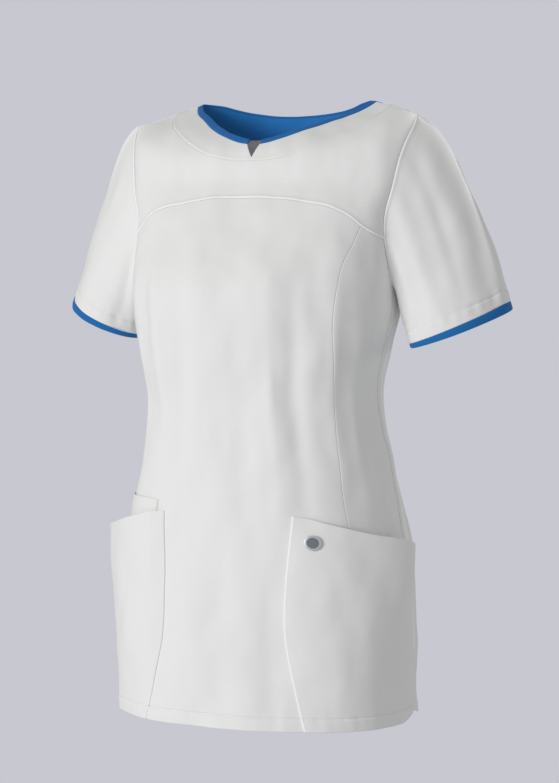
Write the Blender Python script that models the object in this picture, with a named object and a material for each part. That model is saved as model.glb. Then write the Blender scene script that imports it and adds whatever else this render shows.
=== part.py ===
# A short-sleeved work tunic, worn shape with nobody in it.
# Every panel is a cloth wall on one body form, which is a stack of cross-sections.
# Metres, +Z up, front towards -Y, +X is the wearer's left, origin between the shoulder seams.

import math

import bmesh
import bpy
import numpy as np
from mathutils import Matrix, Vector

MM = 0.001
COLLECTION = "work_tunic"

# Cloth, in millimetres
WALL = 1.5
TRIM_WALL = 2.2
FACING_WALL = 1.2
SEAM_GAP = 0.3
TUBE_SEAM_GAP = 0.55
LAYER_GAP = 0.7
LONGEST_MITRE = 1.6
TIP_ANGLE = 6

# The body form, in millimetres: one row for each cross-section, from the shoulders down.
# The shoulder ridge is the line of the shoulder seams, carried on over the neck hole.
SECTION_COLUMNS = ("height", "rise_at_centre", "y", "back_at_centre", "half_width",
                   "front", "back", "front_power", "back_power")
SECTIONS = {
    "shoulder ridge": (-15, 44, -39, 66, 180.5, 0, 0, 2.0, 2.0),
    "collarbone": (-38, 0, -40, 0, 181, 49, 84, 2.4, 2.6),
    "chest": (-88, 0, -44, 0, 173.5, 65, 103, 2.8, 3.0),
    "armhole": (-133, 0, -50, 0, 163, 87, 112, 2.5, 3.0),
    "bust": (-205, 0, -57, 0, 162, 119, 112, 2.3, 2.5),
    "under the bust": (-278, 0, -60, 0, 151, 116, 99, 2.3, 2.3),
    "waist": (-345, 0, -58, 0, 143.5, 112, 79, 2.3, 2.3),
    "high hip": (-432, 0, -49, 0, 158, 123, 89, 2.3, 2.3),
    "hip": (-515, 0, -49, 0, 175, 128, 108, 2.3, 2.3),
    "thigh": (-612, 0, -42, 0, 178, 143, 109, 2.3, 2.3),
    "hem": (-711, 0, -40, 0, 180.5, 151, 108, 2.3, 2.3),
}
# The wearer's left shoulder is held a little higher than the right one.
LEFT_SHOULDER_RISE = 7
UNDERARM_ROW = 4
HEM_ROW = len(SECTIONS) - 1

# Seam lines, in millimetres. Front-view tables give x and height of the wearer's left half.
NECK_POINT_X = 111.5
TRIM_WIDTH = 6.5
BAND_WIDTH_AT_SHOULDER = 31.5
FACING_EDGE_CLEARANCE = 0.6
FRONT_NECK_EDGE = ((103, 4.5), (80, -6.5), (52, -20), (30, -29), (8, -34.5))
FRONT_TRIM_SEAM = ((109, 1), (84, -12.5), (54, -27), (30, -36), (8, -41))
BAND_SEAM = ((133, -12), (111, -27), (80, -42.5), (56, -53), (27, -59.5), (0, -61))
NOTCH_BOTTOM = -57
BACK_NECK_EDGE = ((104, 12), (92, 10.5), (78, 6.5), (63, 3), (45, 0.5), (25, -1.5), (0, -2.5))
BACK_TRIM_SEAM = ((111, 5), (97, 3), (81, -1.5), (65, -5), (46, -7.5), (25, -9), (0, -9.5))
YOKE_ARCH = ((0, -104), (40, -105), (78, -109.5), (107, -115.5), (127, -125), (142, -138))
YOKE_END_HEIGHT = -152
PRINCESS_TOP_X = 141
PRINCESS_SEAM = ((136, -158), (130.5, -176), (126.5, -208), (122.5, -240), (119, -323),
                 (123, -391), (131, -448), (141, -495), (149, -600), (153, -709.5))

# Side-view tables give y and height of the armhole, then how far each slit edge stands off
# the side line and at what height.
FRONT_ARMHOLE = ((-57, -42), (-69, -72), (-77, -108), (-80, -145), (-75, -176), (-67, -196))
BACK_ARMHOLE = ((-18, -48), (-4, -88), (4, -128), (-4, -168), (-30, -196))
SLIT_TOP_HEIGHT = -632
FRONT_SLIT = ((0.8, -650), (2, -668), (7, -685))
FRONT_HEM_CORNER = (18, -698)
BACK_SLIT = ((0.8, -650), (2.5, -668), (7, -683))
BACK_HEM_CORNER = (15, -695)
CORNER_RUN = 34

# Large soft folds: angle round the body and height at each end, depth and width in millimetres.
FOLD_COLUMNS = ("top_angle", "top_height", "bottom_angle", "bottom_height", "depth", "width")
FOLDS = (
    (28, -150, 34, -490, 4.5, 15),
    (17, -170, 22, -480, -1.5, 9),
    (50, -170, 54, -430, -2.5, 12),
    (1, -165, 9, -530, 3.2, 16),
    (-33, -140, -34, -400, -3.8, 14),
    (-17, -145, -20, -430, 3.0, 14),
    (20, -500, 21, -700, 3.0, 15),
    (-12, -500, -10, -720, -2.5, 18),
    (152, -140, 160, -470, 5.0, 18),
    (196, -120, 188, -430, 4.5, 18),
    (215, -180, 222, -460, -4.0, 20),
    (172, -430, 168, -700, 4.0, 18),
    (135, -250, 140, -560, 3.5, 16),
)
QUARTER_ARC = 250

# Sleeves, in millimetres, x outwards from the middle: one row for each
SLEEVE_COLUMNS = ("end_x", "end_y", "end_height", "axis_x", "axis_y", "axis_z",
                  "half_length", "half_width", "turn", "mirror")
SLEEVES = {
    "left": (232, -19, -254, 0.31, 0.19, -0.93, 63, 48.5, -28, 1),
    "right": (233, -17.5, -249, 0.42, 0.03, -0.93, 61.5, 50, -58, -1),
}
CUFF_TRIM_READING = 0.911
FRONT_CAP_OUT = 0.7
BACK_CAP_OUT = 3.8
CAP_LEANS_BACK = 0.9
FRONT_CAP_PUSH = 92
BACK_CAP_PUSH = 178
UNDERARM_PUSH = 45
CUFF_PULL = 80
UNDERARM_EASE = 0.45

# Hip pockets: the front seam and the mouth in the front view, the mouth's end at the side
POCKET_SEAM = ((78.5, -510), (76.5, -565), (79, -610), (89, -660), (101, -709.5))
POCKET_TOP_FRONT = (81.5, -465.5)
POCKET_MOUTH = ((94, -467), (124, -475.5), (156, -487.5), (171, -497))
POCKET_SIDE_HEIGHT = -506
POCKET_MOUTH_SINKS = 0.2
POCKET_GAPES = {"left": 24, "right": 33}
POCKET_LOW_GAPE = 2.5
POCKET_EDGE_CLEARANCE = 1.2
PHONE_LIFT = 3.6
PHONE_POCKET_GAP = 1.0

# Phone pocket, wearer's right, under the hip pocket, in the front view
PHONE_POCKET_TOP = -453
PHONE_POCKET_BOTTOM = -575
PHONE_POCKET_FRONT_X = 93
PHONE_POCKET_BACK_X = 160

# Badge on the left hip pocket: place on the pocket from front to side, top to hem
BADGE_PLACE = (0.165, 0.115)
BADGE_LENGTH = 20
BADGE_HEIGHT = 17
BADGE_THICKNESS = 1.6

# Grid steps of the walls
YOKE_SIDE_STEPS = 4
CENTRE_STEPS = 20
NOTCH_SHARE = 0.075
NECK_CROWDING = 1.25
YOKE_ROWS = 7
YOKE_ROW_CROWDING = 1.3
YOKE_FADE = 4
BAND_ROWS = 3
ARMHOLE_ROWS = 6
BACK_ARMHOLE_ROWS = 12
SEAM_ROWS = 15
SLIT_ROWS = 4
BACK_NECK_STEPS = 8
SLEEVE_ROWS = 8
FACING_ROWS = 2
POCKET_ROWS = 14
POCKET_COLUMNS = 14
PHONE_ROWS = 6
PHONE_COLUMNS = 5
BADGE_SIDES = 20


def hermite_weights(f):
    """The four cubic weights: start, start slope, end, end slope."""
    return (2 * f**3 - 3 * f**2 + 1, f**3 - 2 * f**2 + f,
            -2 * f**3 + 3 * f**2, f**3 - f**2)


def spline(knots, values, at):
    """A smooth cubic through values at rising knots, read at each number in at."""
    knots = np.asarray(knots, float)
    values = np.asarray(values, float)
    steps = np.diff(knots)
    rises = np.diff(values, axis=0) / steps[:, None]
    slopes = np.empty_like(values)
    slopes[0] = rises[0]
    slopes[-1] = rises[-1]
    if len(rises) > 1:
        share = (steps[:-1] / (steps[:-1] + steps[1:]))[:, None]
        slopes[1:-1] = rises[:-1] * (1 - share) + rises[1:] * share
        slopes[0] = 1.5 * rises[0] - 0.5 * slopes[1]
        slopes[-1] = 1.5 * rises[-1] - 0.5 * slopes[-2]
    at = np.clip(np.asarray(at, float), knots[0], knots[-1])
    piece = np.clip(np.searchsorted(knots, at, side="right") - 1, 0, len(steps) - 1)
    f = ((at - knots[piece]) / steps[piece])[:, None]
    a, b, c, d = hermite_weights(f)
    step = steps[piece][:, None]
    return (a * values[piece] + b * step * slopes[piece]
            + c * values[piece + 1] + d * step * slopes[piece + 1])


SECTION_TABLE = np.array(list(SECTIONS.values()), float)


def fold_depth(angle, height):
    """How far the folds push the cloth in at an angle round the body and a height."""
    depth = np.zeros_like(height)
    for fold in FOLDS:
        row = dict(zip(FOLD_COLUMNS, fold))
        along = (row["top_height"] - height) / (row["top_height"] - row["bottom_height"])
        middle = row["top_angle"] + (row["bottom_angle"] - row["top_angle"]) * along
        away = (angle - middle + 180) % 360 - 180
        across = away / 90 * QUARTER_ARC / row["width"]
        ends = np.sin(np.pi * np.clip(along, 0, 1)) ** 0.8
        depth += row["depth"] * ends * np.exp(-across**2)
    return depth


def body_point(angle, row):
    """Points of the body form, in metres. Angle 0 is the centre front, 90 the left side."""
    angle, row = np.broadcast_arrays(np.asarray(angle, float), np.asarray(row, float))
    shape = angle.shape
    angle = angle.reshape(-1)
    row = row.reshape(-1)
    section = spline(np.arange(len(SECTION_TABLE)), SECTION_TABLE, row)
    height, rise, y, back_shift, half_width, front, back, front_power, back_power = section.T
    turn = np.radians(angle)
    sine, cosine = np.sin(turn), np.cos(turn)
    faces_front = cosine > 0
    power = 2 / np.where(faces_front, front_power, back_power)
    depth = np.where(faces_front, -front, back)
    z = height + rise * cosine**2
    z += LEFT_SHOULDER_RISE * np.clip(sine, 0, 1)**3 * np.clip(1 - row / UNDERARM_ROW, 0, 1)**2
    inward = fold_depth(angle, z)
    x = half_width * np.sign(sine) * np.abs(sine)**power - inward * sine
    y = (y + back_shift * cosine**2 + depth * np.abs(cosine)**power
         + inward * cosine)
    return (np.stack([x, y, z], axis=-1) * MM).reshape(*shape, 3)


def body_normal(angle, row):
    """Outward unit normals of the body form."""
    angle, row = np.broadcast_arrays(np.asarray(angle, float), np.asarray(row, float))
    nudge_angle, nudge_row = 0.8, 0.02
    turned = (angle + 180) % 360 - 180
    from_side = np.abs(turned) - 90
    at_tip = (row < nudge_row) & (np.abs(from_side) < TIP_ANGLE)
    inward = np.where(from_side > 0, 90 + TIP_ANGLE, 90 - TIP_ANGLE) * np.sign(turned)
    angle = np.where(at_tip, inward, angle)
    low = np.maximum(row - nudge_row, 0)
    high = np.minimum(row + nudge_row, HEM_ROW)
    round_body = body_point(angle + nudge_angle, row) - body_point(angle - nudge_angle, row)
    down_body = body_point(angle, high) - body_point(angle, low)
    normal = np.cross(down_body, round_body)
    return normal / np.linalg.norm(normal, axis=-1, keepdims=True)


def ridge_mitre(angle):
    """The direction that halves the angle between front and back at the shoulder seam."""
    limit = 90 - TIP_ANGLE
    angle = np.clip(np.asarray(angle, float), -limit, limit)
    both = body_normal(angle, 0.0) + body_normal(180 - angle, 0.0)
    length = np.linalg.norm(both, axis=-1, keepdims=True)
    return both / length * np.minimum(2 / length, LONGEST_MITRE)


def place_on_body(height, x=None, y_from_side=None, behind=False):
    """Angle and row of the point at a height and an x, or a distance from the side line."""
    low, high = 0.0, float(HEM_ROW)
    for _ in range(48):
        middle = (low + high) / 2
        section = dict(zip(SECTION_COLUMNS, spline(np.arange(len(SECTION_TABLE)),
                                                   SECTION_TABLE, [middle])[0]))
        power = section["back_power"] if behind else section["front_power"]
        if x is not None:
            angle = math.asin(min(1.0, abs(x) / section["half_width"]) ** (power / 2))
        else:
            depth = max(section["back"] if behind else section["front"], 1e-6)
            share = min(1.0, abs(y_from_side) / depth)
            angle = math.acos(share ** (power / 2))
        z = section["height"] + section["rise_at_centre"] * math.cos(angle) ** 2
        if z > height:
            low = middle
        else:
            high = middle
    angle = math.degrees(angle)
    if behind:
        angle = 180 - angle
    return (angle if x is None or x >= 0 else -angle), (low + high) / 2


def place_at_y(height, y, behind=False):
    """Angle and row of the armhole point at a height and a y, on the wearer's left."""
    y_at_side = np.interp(-height, -SECTION_TABLE[:, 0], SECTION_TABLE[:, 2])
    return place_on_body(height, y_from_side=y - y_at_side, behind=behind)


def line_through(places):
    """A curve over the body form through places, read from 0 to 1 by length."""
    places = np.array(places, float)
    points = body_point(places[:, 0], places[:, 1])
    lengths = np.linalg.norm(np.diff(points, axis=0), axis=1)
    knots = np.concatenate([[0], np.cumsum(lengths)]) / lengths.sum()
    return lambda t: spline(knots, places, t)


def steps(count, start=0.0, end=1.0):
    return np.linspace(start, end, count + 1)


def chain(*stretches):
    """Lists end to end, without the doubled ends."""
    return np.concatenate([stretches[0]] + [stretch[1:] for stretch in stretches[1:]])


def other_side(places):
    """The same places on the wearer's right."""
    return places * np.array([-1.0, 1.0])


def across_front(half):
    """Places from the centre front out, made to run from the wearer's right to the left."""
    return np.concatenate([other_side(half)[::-1], half[1:]])


def across_back(half):
    """Places from the wearer's left to the centre back, carried on to the wearer's right."""
    return np.concatenate([half, (half * [-1.0, 1.0] + [360.0, 0.0])[::-1][1:]])


def edge_patch(top, bottom, left, right, across=None, down=None, fade=1):
    """Places inside four edges, each a list of places: a blend of the edges.

    What the left and right edges add of their own dies away inwards, faster with a higher fade.
    """
    across = steps(len(top) - 1) if across is None else across
    down = steps(len(left) - 1) if down is None else down
    s, t = across[None, :, None], down[:, None, None]
    upper, lower, near, far = top[None], bottom[None], left[:, None], right[:, None]
    own_near = near - (1 - t) * upper[:, :1] - t * lower[:, :1]
    own_far = far - (1 - t) * upper[:, -1:] - t * lower[:, -1:]
    return (1 - t) * upper + t * lower + (1 - s)**fade * own_near + s**fade * own_far


def grid_tangents(points, closed=False):
    """Steps along the rows and down the columns of a grid of points."""
    if closed:
        loop = points[:, :-1]
        across = np.roll(loop, -1, axis=1) - np.roll(loop, 1, axis=1)
        across = np.concatenate([across, across[:, :1]], axis=1)
    else:
        across = np.gradient(points, axis=1)
    return across, np.gradient(points, axis=0)


def grid_normals(points, closed=False):
    """Unit normals of a grid of points whose columns run to the wearer's left."""
    across, down = grid_tangents(points, closed)
    normal = np.cross(down, across)
    return normal / np.linalg.norm(normal, axis=-1, keepdims=True)


def pulled_in(points, normals, amount, edges, closed=False):
    """The grid with its named edges moved in along the cloth, clear of the next piece."""
    moved = points.copy()
    across, down = grid_tangents(points, closed)
    for edge, index, along, inward in (("top", np.s_[0, :], across, down),
                                       ("bottom", np.s_[-1, :], across, -down),
                                       ("left", np.s_[:, 0], down, across),
                                       ("right", np.s_[:, -1], down, -across)):
        if edge not in edges:
            continue
        side = np.cross(normals[index], along[index])
        side /= np.maximum(np.linalg.norm(side, axis=-1, keepdims=True), 1e-12)
        facing = np.sign(np.sum(side * inward[index], axis=-1, keepdims=True))
        moved[index] += side * facing * amount * MM
    return moved


ALL_EDGES = ("top", "bottom", "left", "right")
MIRROR_X = np.array([-1.0, 1.0, 1.0])


def material(name, colour, roughness, metallic=0.0):
    made = bpy.data.materials.new(name)
    made.use_nodes = True
    shader = made.node_tree.nodes["Principled BSDF"]
    shader.inputs["Base Color"].default_value = (*colour, 1.0)
    shader.inputs["Roughness"].default_value = roughness
    shader.inputs["Metallic"].default_value = metallic
    made.diffuse_color = (*colour, 1.0)
    return made


def cloth_wall(name, outer, inner, finish, collection, closed=False):
    """One named piece of cloth: a grid laid on the outer points, thickened to the inner ones."""
    rows, columns = outer.shape[:2]
    outer, inner = outer.reshape(-1, 3), inner.reshape(-1, 3)
    cloth = bmesh.new()
    bmesh.ops.create_grid(cloth, x_segments=columns - 1, y_segments=rows - 1, size=1)
    place = cloth.verts.layers.int.new("place")
    for number, vert in enumerate(cloth.verts):
        vert[place] = number
        vert.co = outer[number]
    if closed:
        bmesh.ops.remove_doubles(cloth, verts=cloth.verts, dist=1e-6)
    thickened = bmesh.ops.extrude_face_region(cloth, geom=cloth.faces[:], use_keep_orig=True)
    for item in thickened["geom"]:
        if isinstance(item, bmesh.types.BMVert):
            item.co = inner[item[place]]
    bmesh.ops.recalc_face_normals(cloth, faces=cloth.faces)
    mesh = bpy.data.meshes.new(name)
    cloth.to_mesh(mesh)
    cloth.free()
    mesh.shade_smooth()
    mesh.set_sharp_from_angle(angle=math.radians(50))
    mesh.materials.append(finish)
    piece = bpy.data.objects.new(name, mesh)
    collection.objects.link(piece)
    return piece


class Lines:
    """The seam lines of the wearer's left half, as lists of places on the body form."""

    def __init__(self):
        tip, underarm = (90.0, 0.0), (90.0, float(UNDERARM_ROW))
        neck_x, trim_x = NECK_POINT_X, NECK_POINT_X + TRIM_WIDTH
        band_x = NECK_POINT_X + BAND_WIDTH_AT_SHOULDER

        front_armhole = line_through(
            [tip, *(place_at_y(z, y) for y, z in FRONT_ARMHOLE), underarm])
        back_armhole = line_through(
            [tip, *(place_at_y(z, y, behind=True) for y, z in BACK_ARMHOLE), underarm])
        yoke_end = reading_where(front_armhole, 2, YOKE_END_HEIGHT)
        self.yoke_armhole = front_armhole(steps(YOKE_ROWS, 0, yoke_end))
        self.side_armhole = front_armhole(steps(ARMHOLE_ROWS, yoke_end, 1))
        self.back_armhole = back_armhole(steps(BACK_ARMHOLE_ROWS))

        arch = line_through([*(place_on_body(z, x=x) for x, z in YOKE_ARCH),
                             tuple(self.yoke_armhole[-1])])
        princess_top = reading_where(arch, 0, PRINCESS_TOP_X)
        self.centre_arch = arch(steps(CENTRE_STEPS // 2, 0, princess_top))
        self.side_arch = arch(steps(YOKE_SIDE_STEPS, princess_top, 1))

        slit_top = (90.0, place_on_body(SLIT_TOP_HEIGHT, y_from_side=0)[1])
        side_rows = steps(SEAM_ROWS, underarm[1], slit_top[1])
        self.side_seam = np.stack([np.full_like(side_rows, 90.0), side_rows], axis=1)
        self.front_slit, self.front_corner = slit_edge(slit_top, FRONT_SLIT, FRONT_HEM_CORNER)
        self.back_slit, self.back_corner = slit_edge(slit_top, BACK_SLIT, BACK_HEM_CORNER, True)

        princess = line_through([tuple(self.centre_arch[-1]),
                                 *(place_on_body(z, x=x) for x, z in PRINCESS_SEAM)])
        lengths = np.concatenate([[0], np.cumsum(np.linalg.norm(
            np.diff(body_points_of(self.front_outer()), axis=0), axis=1))])
        self.princess = princess(lengths / lengths[-1])

        self.ridge_yoke = ridge_places(band_x, SECTION_TABLE[0, 4], YOKE_SIDE_STEPS)
        self.ridge_band = ridge_places(trim_x, band_x, BAND_ROWS)
        from_ridge = (1 - steps(CENTRE_STEPS // 2 - 1))**NECK_CROWDING
        self.band_seam = seam_from_ridge(band_x, BAND_SEAM, np.concatenate(
            [[1], (1 - NOTCH_SHARE) * from_ridge]))
        self.front_trim = seam_from_ridge(trim_x, FRONT_TRIM_SEAM, from_ridge)
        self.front_neck = seam_from_ridge(neck_x, FRONT_NECK_EDGE, from_ridge)
        along_back = steps(BACK_NECK_STEPS)
        self.back_trim = seam_from_ridge(trim_x, BACK_TRIM_SEAM, along_back, behind=True)
        self.back_neck = seam_from_ridge(neck_x, BACK_NECK_EDGE, along_back, behind=True)

    def front_outer(self):
        """The outer edge of the front side panel: armhole, side seam and slit."""
        return chain(self.side_armhole, self.side_seam, self.front_slit)


def body_points_of(places):
    return body_point(places[..., 0], places[..., 1])


def reading_where(curve, axis, size):
    """The reading at which a curve's x (axis 0) or height (axis 2) reaches a size."""
    sign = 1 if axis == 0 else -1
    low, high = 0.0, 1.0
    for _ in range(40):
        middle = (low + high) / 2
        if sign * body_points_of(curve([middle]))[0, axis] < sign * size * MM:
            low = middle
        else:
            high = middle
    return low


def ridge_places(from_x, to_x, count):
    """Places along the shoulder ridge between two distances from the middle."""
    angles = [math.degrees(math.asin(x / SECTION_TABLE[0, 4])) for x in (from_x, to_x)]
    angles = steps(count, *angles)
    return np.stack([angles, np.zeros_like(angles)], axis=1)


def seam_from_ridge(ridge_x, table, readings, behind=False):
    """Places on a neck seam that starts on the shoulder ridge and ends near the middle."""
    start = ridge_places(ridge_x, ridge_x, 1)[0]
    if behind:
        start = np.array([180 - start[0], 0.0])
    return line_through([start, *(place_on_body(z, x=x, behind=behind) for x, z in table)])(
        readings)


def slit_edge(top, table, corner, behind=False):
    """Places down one edge of the side slit, and the rounded corner that it ends at."""
    corner = place_on_body(corner[1], y_from_side=corner[0], behind=behind)
    places = [place_on_body(z, y_from_side=y, behind=behind) for y, z in table]
    return line_through([top, *places, corner])(steps(SLIT_ROWS)), corner


def hem_line(start_angle, corner, readings):
    """The hem, flat on the lowest section and then up into the corner by the slit."""
    toward = math.copysign(90 / QUARTER_ARC, corner[0] - start_angle)
    rise = HEM_ROW - corner[1]
    flat = np.linspace(start_angle, corner[0] - toward * CORNER_RUN, 6)
    places = [(angle, float(HEM_ROW)) for angle in flat]
    places.append((corner[0] - toward * CORNER_RUN * 0.4, HEM_ROW - rise * 0.25))
    return line_through([*places, corner])(readings)


class ArmholeRing:
    """One armhole edge, from the shoulder tip down the front and up the back, and its sleeve.

    Everything is worked out on the wearer's left; a right sleeve is mirrored when it is made.
    """

    def __init__(self, lines, side):
        self.size = dict(zip(SLEEVE_COLUMNS, SLEEVES[side]))
        self.axis = np.array(Vector([self.size["axis_" + name] for name in "xyz"]).normalized())
        front = chain(lines.yoke_armhole, lines.side_armhole)
        self.front_count = len(front)
        self.places = np.concatenate([front, lines.back_armhole[::-1][1:]])
        own_side = self.places * [self.size["mirror"], 1]
        own_mirror = [self.size["mirror"], 1, 1]
        self.points = body_points_of(own_side) * own_mirror
        body_normals = body_normal(own_side[:, 0], own_side[:, 1]) * own_mirror
        body_normals[[0, -1]] = ridge_mitre(90.0)
        body_normals /= np.linalg.norm(body_normals, axis=1, keepdims=True)
        along = np.roll(self.points[:-1], -1, axis=0) - np.roll(self.points[:-1], 1, axis=0)
        along = np.concatenate([along, along[:1]])
        middle = self.points.mean(axis=0)
        into_hole = np.cross(along, body_normals)
        into_hole /= np.linalg.norm(into_hole, axis=1, keepdims=True)
        into_hole *= np.sign(np.sum(into_hole * (middle - self.points), axis=1, keepdims=True))

        top, bottom = self.points[0, 2], self.points[self.front_count - 1, 2]
        self.down = np.clip((top - self.points[:, 2]) / (top - bottom), 0, 1)[:, None]
        ease = self.down**2 * (3 - 2 * self.down)
        depths = self.points[:, 1:2]
        behind = (depths - depths.min()) / (depths.max() - depths.min())
        cap_out = FRONT_CAP_OUT + (BACK_CAP_OUT - FRONT_CAP_OUT) * behind
        cap_push = FRONT_CAP_PUSH + (BACK_CAP_PUSH - FRONT_CAP_PUSH) * np.minimum(2 * behind, 1)
        cap_back = CAP_LEANS_BACK * np.minimum(2 * behind, 1)
        outward = into_hole + cap_out * np.concatenate(
            [np.ones_like(behind), cap_back, np.zeros_like(behind)], axis=1)
        outward /= np.linalg.norm(outward, axis=1, keepdims=True)
        self.start = (outward * (1 - ease) * cap_push + self.axis * ease * UNDERARM_PUSH) * MM

        sleeve_normals = np.cross(self.start, along)
        sleeve_normals /= np.linalg.norm(sleeve_normals, axis=1, keepdims=True)
        away = self.points - (middle + self.axis * UNDERARM_PUSH * MM)
        sleeve_normals *= np.sign(np.sum(sleeve_normals * away, axis=1, keepdims=True))
        both = body_normals + sleeve_normals
        length = np.linalg.norm(both, axis=1, keepdims=True)
        self.mitre = both / length * np.minimum(2 / length, LONGEST_MITRE)

    def sleeve_end(self, fractions):
        """Points of the sleeve's end by fraction: 0 outside, then front, 0.5 under the arm."""
        outside = np.array([1.0, 0, 0])
        outside -= self.axis * outside.dot(self.axis)
        outside /= np.linalg.norm(outside)
        front = np.cross(self.axis, outside)
        front *= -np.sign(front[1])
        turn = 2 * np.pi * np.asarray(fractions)
        from_long = turn - math.radians(self.size["turn"])
        radius = 1 / np.sqrt((np.cos(from_long) / self.size["half_length"])**2
                             + (np.sin(from_long) / self.size["half_width"])**2)
        directions = np.cos(turn)[:, None] * outside + np.sin(turn)[:, None] * front
        middle = np.array([self.size["end_x"], self.size["end_y"], self.size["end_height"]])
        return (middle + radius[:, None] * directions) * MM

    def sleeve(self, readings):
        """The sleeve's outer points, rows from the armhole (0) to the sleeve's end (1)."""
        fractions = []
        for stretch, low in ((self.points[:self.front_count], 0.0),
                             (self.points[self.front_count - 1:], 0.5)):
            lengths = np.cumsum(np.linalg.norm(np.diff(stretch, axis=0), axis=1))
            fractions.append(low + 0.5 * np.concatenate([[0], lengths]) / lengths[-1])
        end = self.sleeve_end(chain(*fractions))
        a, b, c, d = (weight[:, None, None] for weight in hermite_weights(np.asarray(readings)))
        pull = self.axis * CUFF_PULL * MM * (1 - UNDERARM_EASE * self.down)
        return a * self.points + b * self.start + c * end + d * pull


def build_torso(lines, rings, white, collection):
    """Yoke, neck band, front panels and back, all on the body form."""

    def wall(name, places, mitres=()):
        points = body_points_of(places)
        normals = body_normal(places[..., 0], places[..., 1])
        outer = pulled_in(points, normals, SEAM_GAP / 2, ALL_EDGES)
        for index, directions in mitres:
            normals[index] = directions
        cloth_wall(name, outer, outer - normals * WALL * MM, white, collection)

    corner_steps = YOKE_SIDE_STEPS
    bottom = across_front(chain(lines.centre_arch, lines.side_arch))
    top = across_front(chain(lines.band_seam, lines.ridge_yoke))
    armhole = lines.yoke_armhole
    yoke = edge_patch(top, bottom, other_side(armhole), armhole,
                      down=steps(YOKE_ROWS)**YOKE_ROW_CROWDING, fade=YOKE_FADE)
    ridge = ridge_mitre(lines.ridge_yoke[:, 0])
    wall("front_yoke", yoke, [
        (np.s_[0, -1 - corner_steps:], ridge),
        (np.s_[0, :corner_steps + 1], ridge[::-1] * MIRROR_X),
        (np.s_[:, -1], rings["left"].mitre[:YOKE_ROWS + 1]),
        (np.s_[:, 0], rings["right"].mitre[:YOKE_ROWS + 1] * MIRROR_X)])

    notch = np.array([0.0, place_on_body(NOTCH_BOTTOM, x=0.0)[1]])
    inner_edge = across_front(np.concatenate([[notch], lines.front_trim]))
    t = steps(BAND_ROWS)[:, None, None]
    band = inner_edge * (1 - t) + across_front(lines.band_seam) * t
    ridge = ridge_mitre(lines.ridge_band[:, 0])
    wall("neck_band", band, [(np.s_[:, -1], ridge), (np.s_[:, 0], ridge * MIRROR_X)])

    hem_angle = lines.princess[-1, 0]
    hem = np.stack([steps(CENTRE_STEPS, -hem_angle, hem_angle),
                    np.full(CENTRE_STEPS + 1, float(HEM_ROW))], axis=1)
    centre = edge_patch(across_front(lines.centre_arch), hem,
                        other_side(lines.princess), lines.princess)
    wall("front_centre", centre)

    outer_edge = lines.front_outer()
    side_hem = hem_line(hem_angle, lines.front_corner, steps(YOKE_SIDE_STEPS))
    side = edge_patch(lines.side_arch, side_hem, lines.princess, outer_edge)
    by_armhole = np.s_[:ARMHOLE_ROWS + 1]
    mitre = {name: ring.mitre[YOKE_ROWS:ring.front_count] for name, ring in rings.items()}
    wall("front_side_left", side, [(np.s_[by_armhole, -1], mitre["left"])])
    wall("front_side_right", other_side(side)[:, ::-1],
         [(np.s_[by_armhole, 0], mitre["right"] * MIRROR_X)])


def build_back(lines, rings, finishes, collection):
    """The back panel and, inside its neck, the facing."""
    half_top = chain(lines.ridge_yoke[::-1] * [-1, 1] + [180, 0],
                     lines.ridge_band[::-1] * [-1, 1] + [180, 0], lines.back_trim)
    top = across_back(half_top)
    side = chain(lines.back_armhole, lines.side_seam, lines.back_slit)
    far_side = side * [-1, 1] + [360, 0]
    corner = lines.back_corner
    count = len(half_top) - 1
    bottom = across_back(hem_line(180.0, corner, steps(count))[::-1])
    places = edge_patch(top, bottom, side, far_side)
    normals = body_normal(places[..., 0], places[..., 1])
    outer = pulled_in(body_points_of(places), normals, SEAM_GAP / 2, ALL_EDGES)
    ridge_count = YOKE_SIDE_STEPS + BAND_ROWS + 1
    ridge = ridge_mitre(90 - (top[:ridge_count, 0] - 90))
    mitre = {name: ring.mitre[ring.front_count - 1:][::-1] for name, ring in rings.items()}
    normals[0, :ridge_count] = ridge
    normals[0, -ridge_count:] = ridge[::-1] * MIRROR_X
    normals[:BACK_ARMHOLE_ROWS + 1, 0] = mitre["left"]
    normals[:BACK_ARMHOLE_ROWS + 1, -1] = mitre["right"] * MIRROR_X
    cloth_wall("back", outer, outer - normals * WALL * MM, finishes["white"], collection)

    covered = np.s_[:FACING_ROWS + 1, YOKE_SIDE_STEPS:-YOKE_SIDE_STEPS]
    facing = outer[covered] - normals[covered] * (WALL + LAYER_GAP) * MM
    facing = pulled_in(facing, normals[covered], FACING_EDGE_CLEARANCE, ALL_EDGES)
    cloth_wall("back_neck_facing", facing, facing - normals[covered] * FACING_WALL * MM,
               finishes["blue"], collection)


def build_neck_trim(lines, finishes, collection):
    """The blue binding, one strip from the notch round the back and back to the notch."""
    def all_round(front, back):
        right_front = other_side(front)
        right_back = back * [-1, 1] + [360, 0]
        return np.concatenate([front, back[1:], right_back[::-1][1:], right_front[::-1][1:]])

    inner = all_round(lines.front_neck, lines.back_neck)
    outer = all_round(lines.front_trim, lines.back_trim)
    t = steps(2)[:, None, None]
    points = body_points_of(inner) * (1 - t) + body_points_of(outer) * t
    places = (inner * (1 - t) + outer * t)
    front_steps = len(lines.front_neck) - 1
    normals = body_normal(places[..., 0], places[..., 1])
    for column, mirror in ((front_steps, 1), (len(inner) - 1 - front_steps, -1)):
        angle = [ridge_places(x, x, 1)[0][0] for x in
                 np.linspace(NECK_POINT_X, NECK_POINT_X + TRIM_WIDTH, 3)]
        ridge = ridge_mitre(angle)
        ridge /= np.linalg.norm(ridge, axis=1, keepdims=True)
        normals[:, column] = ridge * [mirror, 1, 1]
    points = pulled_in(points, normals, TUBE_SEAM_GAP, ("bottom", "left", "right"))
    proud = (TRIM_WALL - WALL) / 2
    cloth_wall("neck_trim", points + normals * proud * MM,
               points - normals * (TRIM_WALL - proud) * MM, finishes["blue"], collection)


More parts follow.
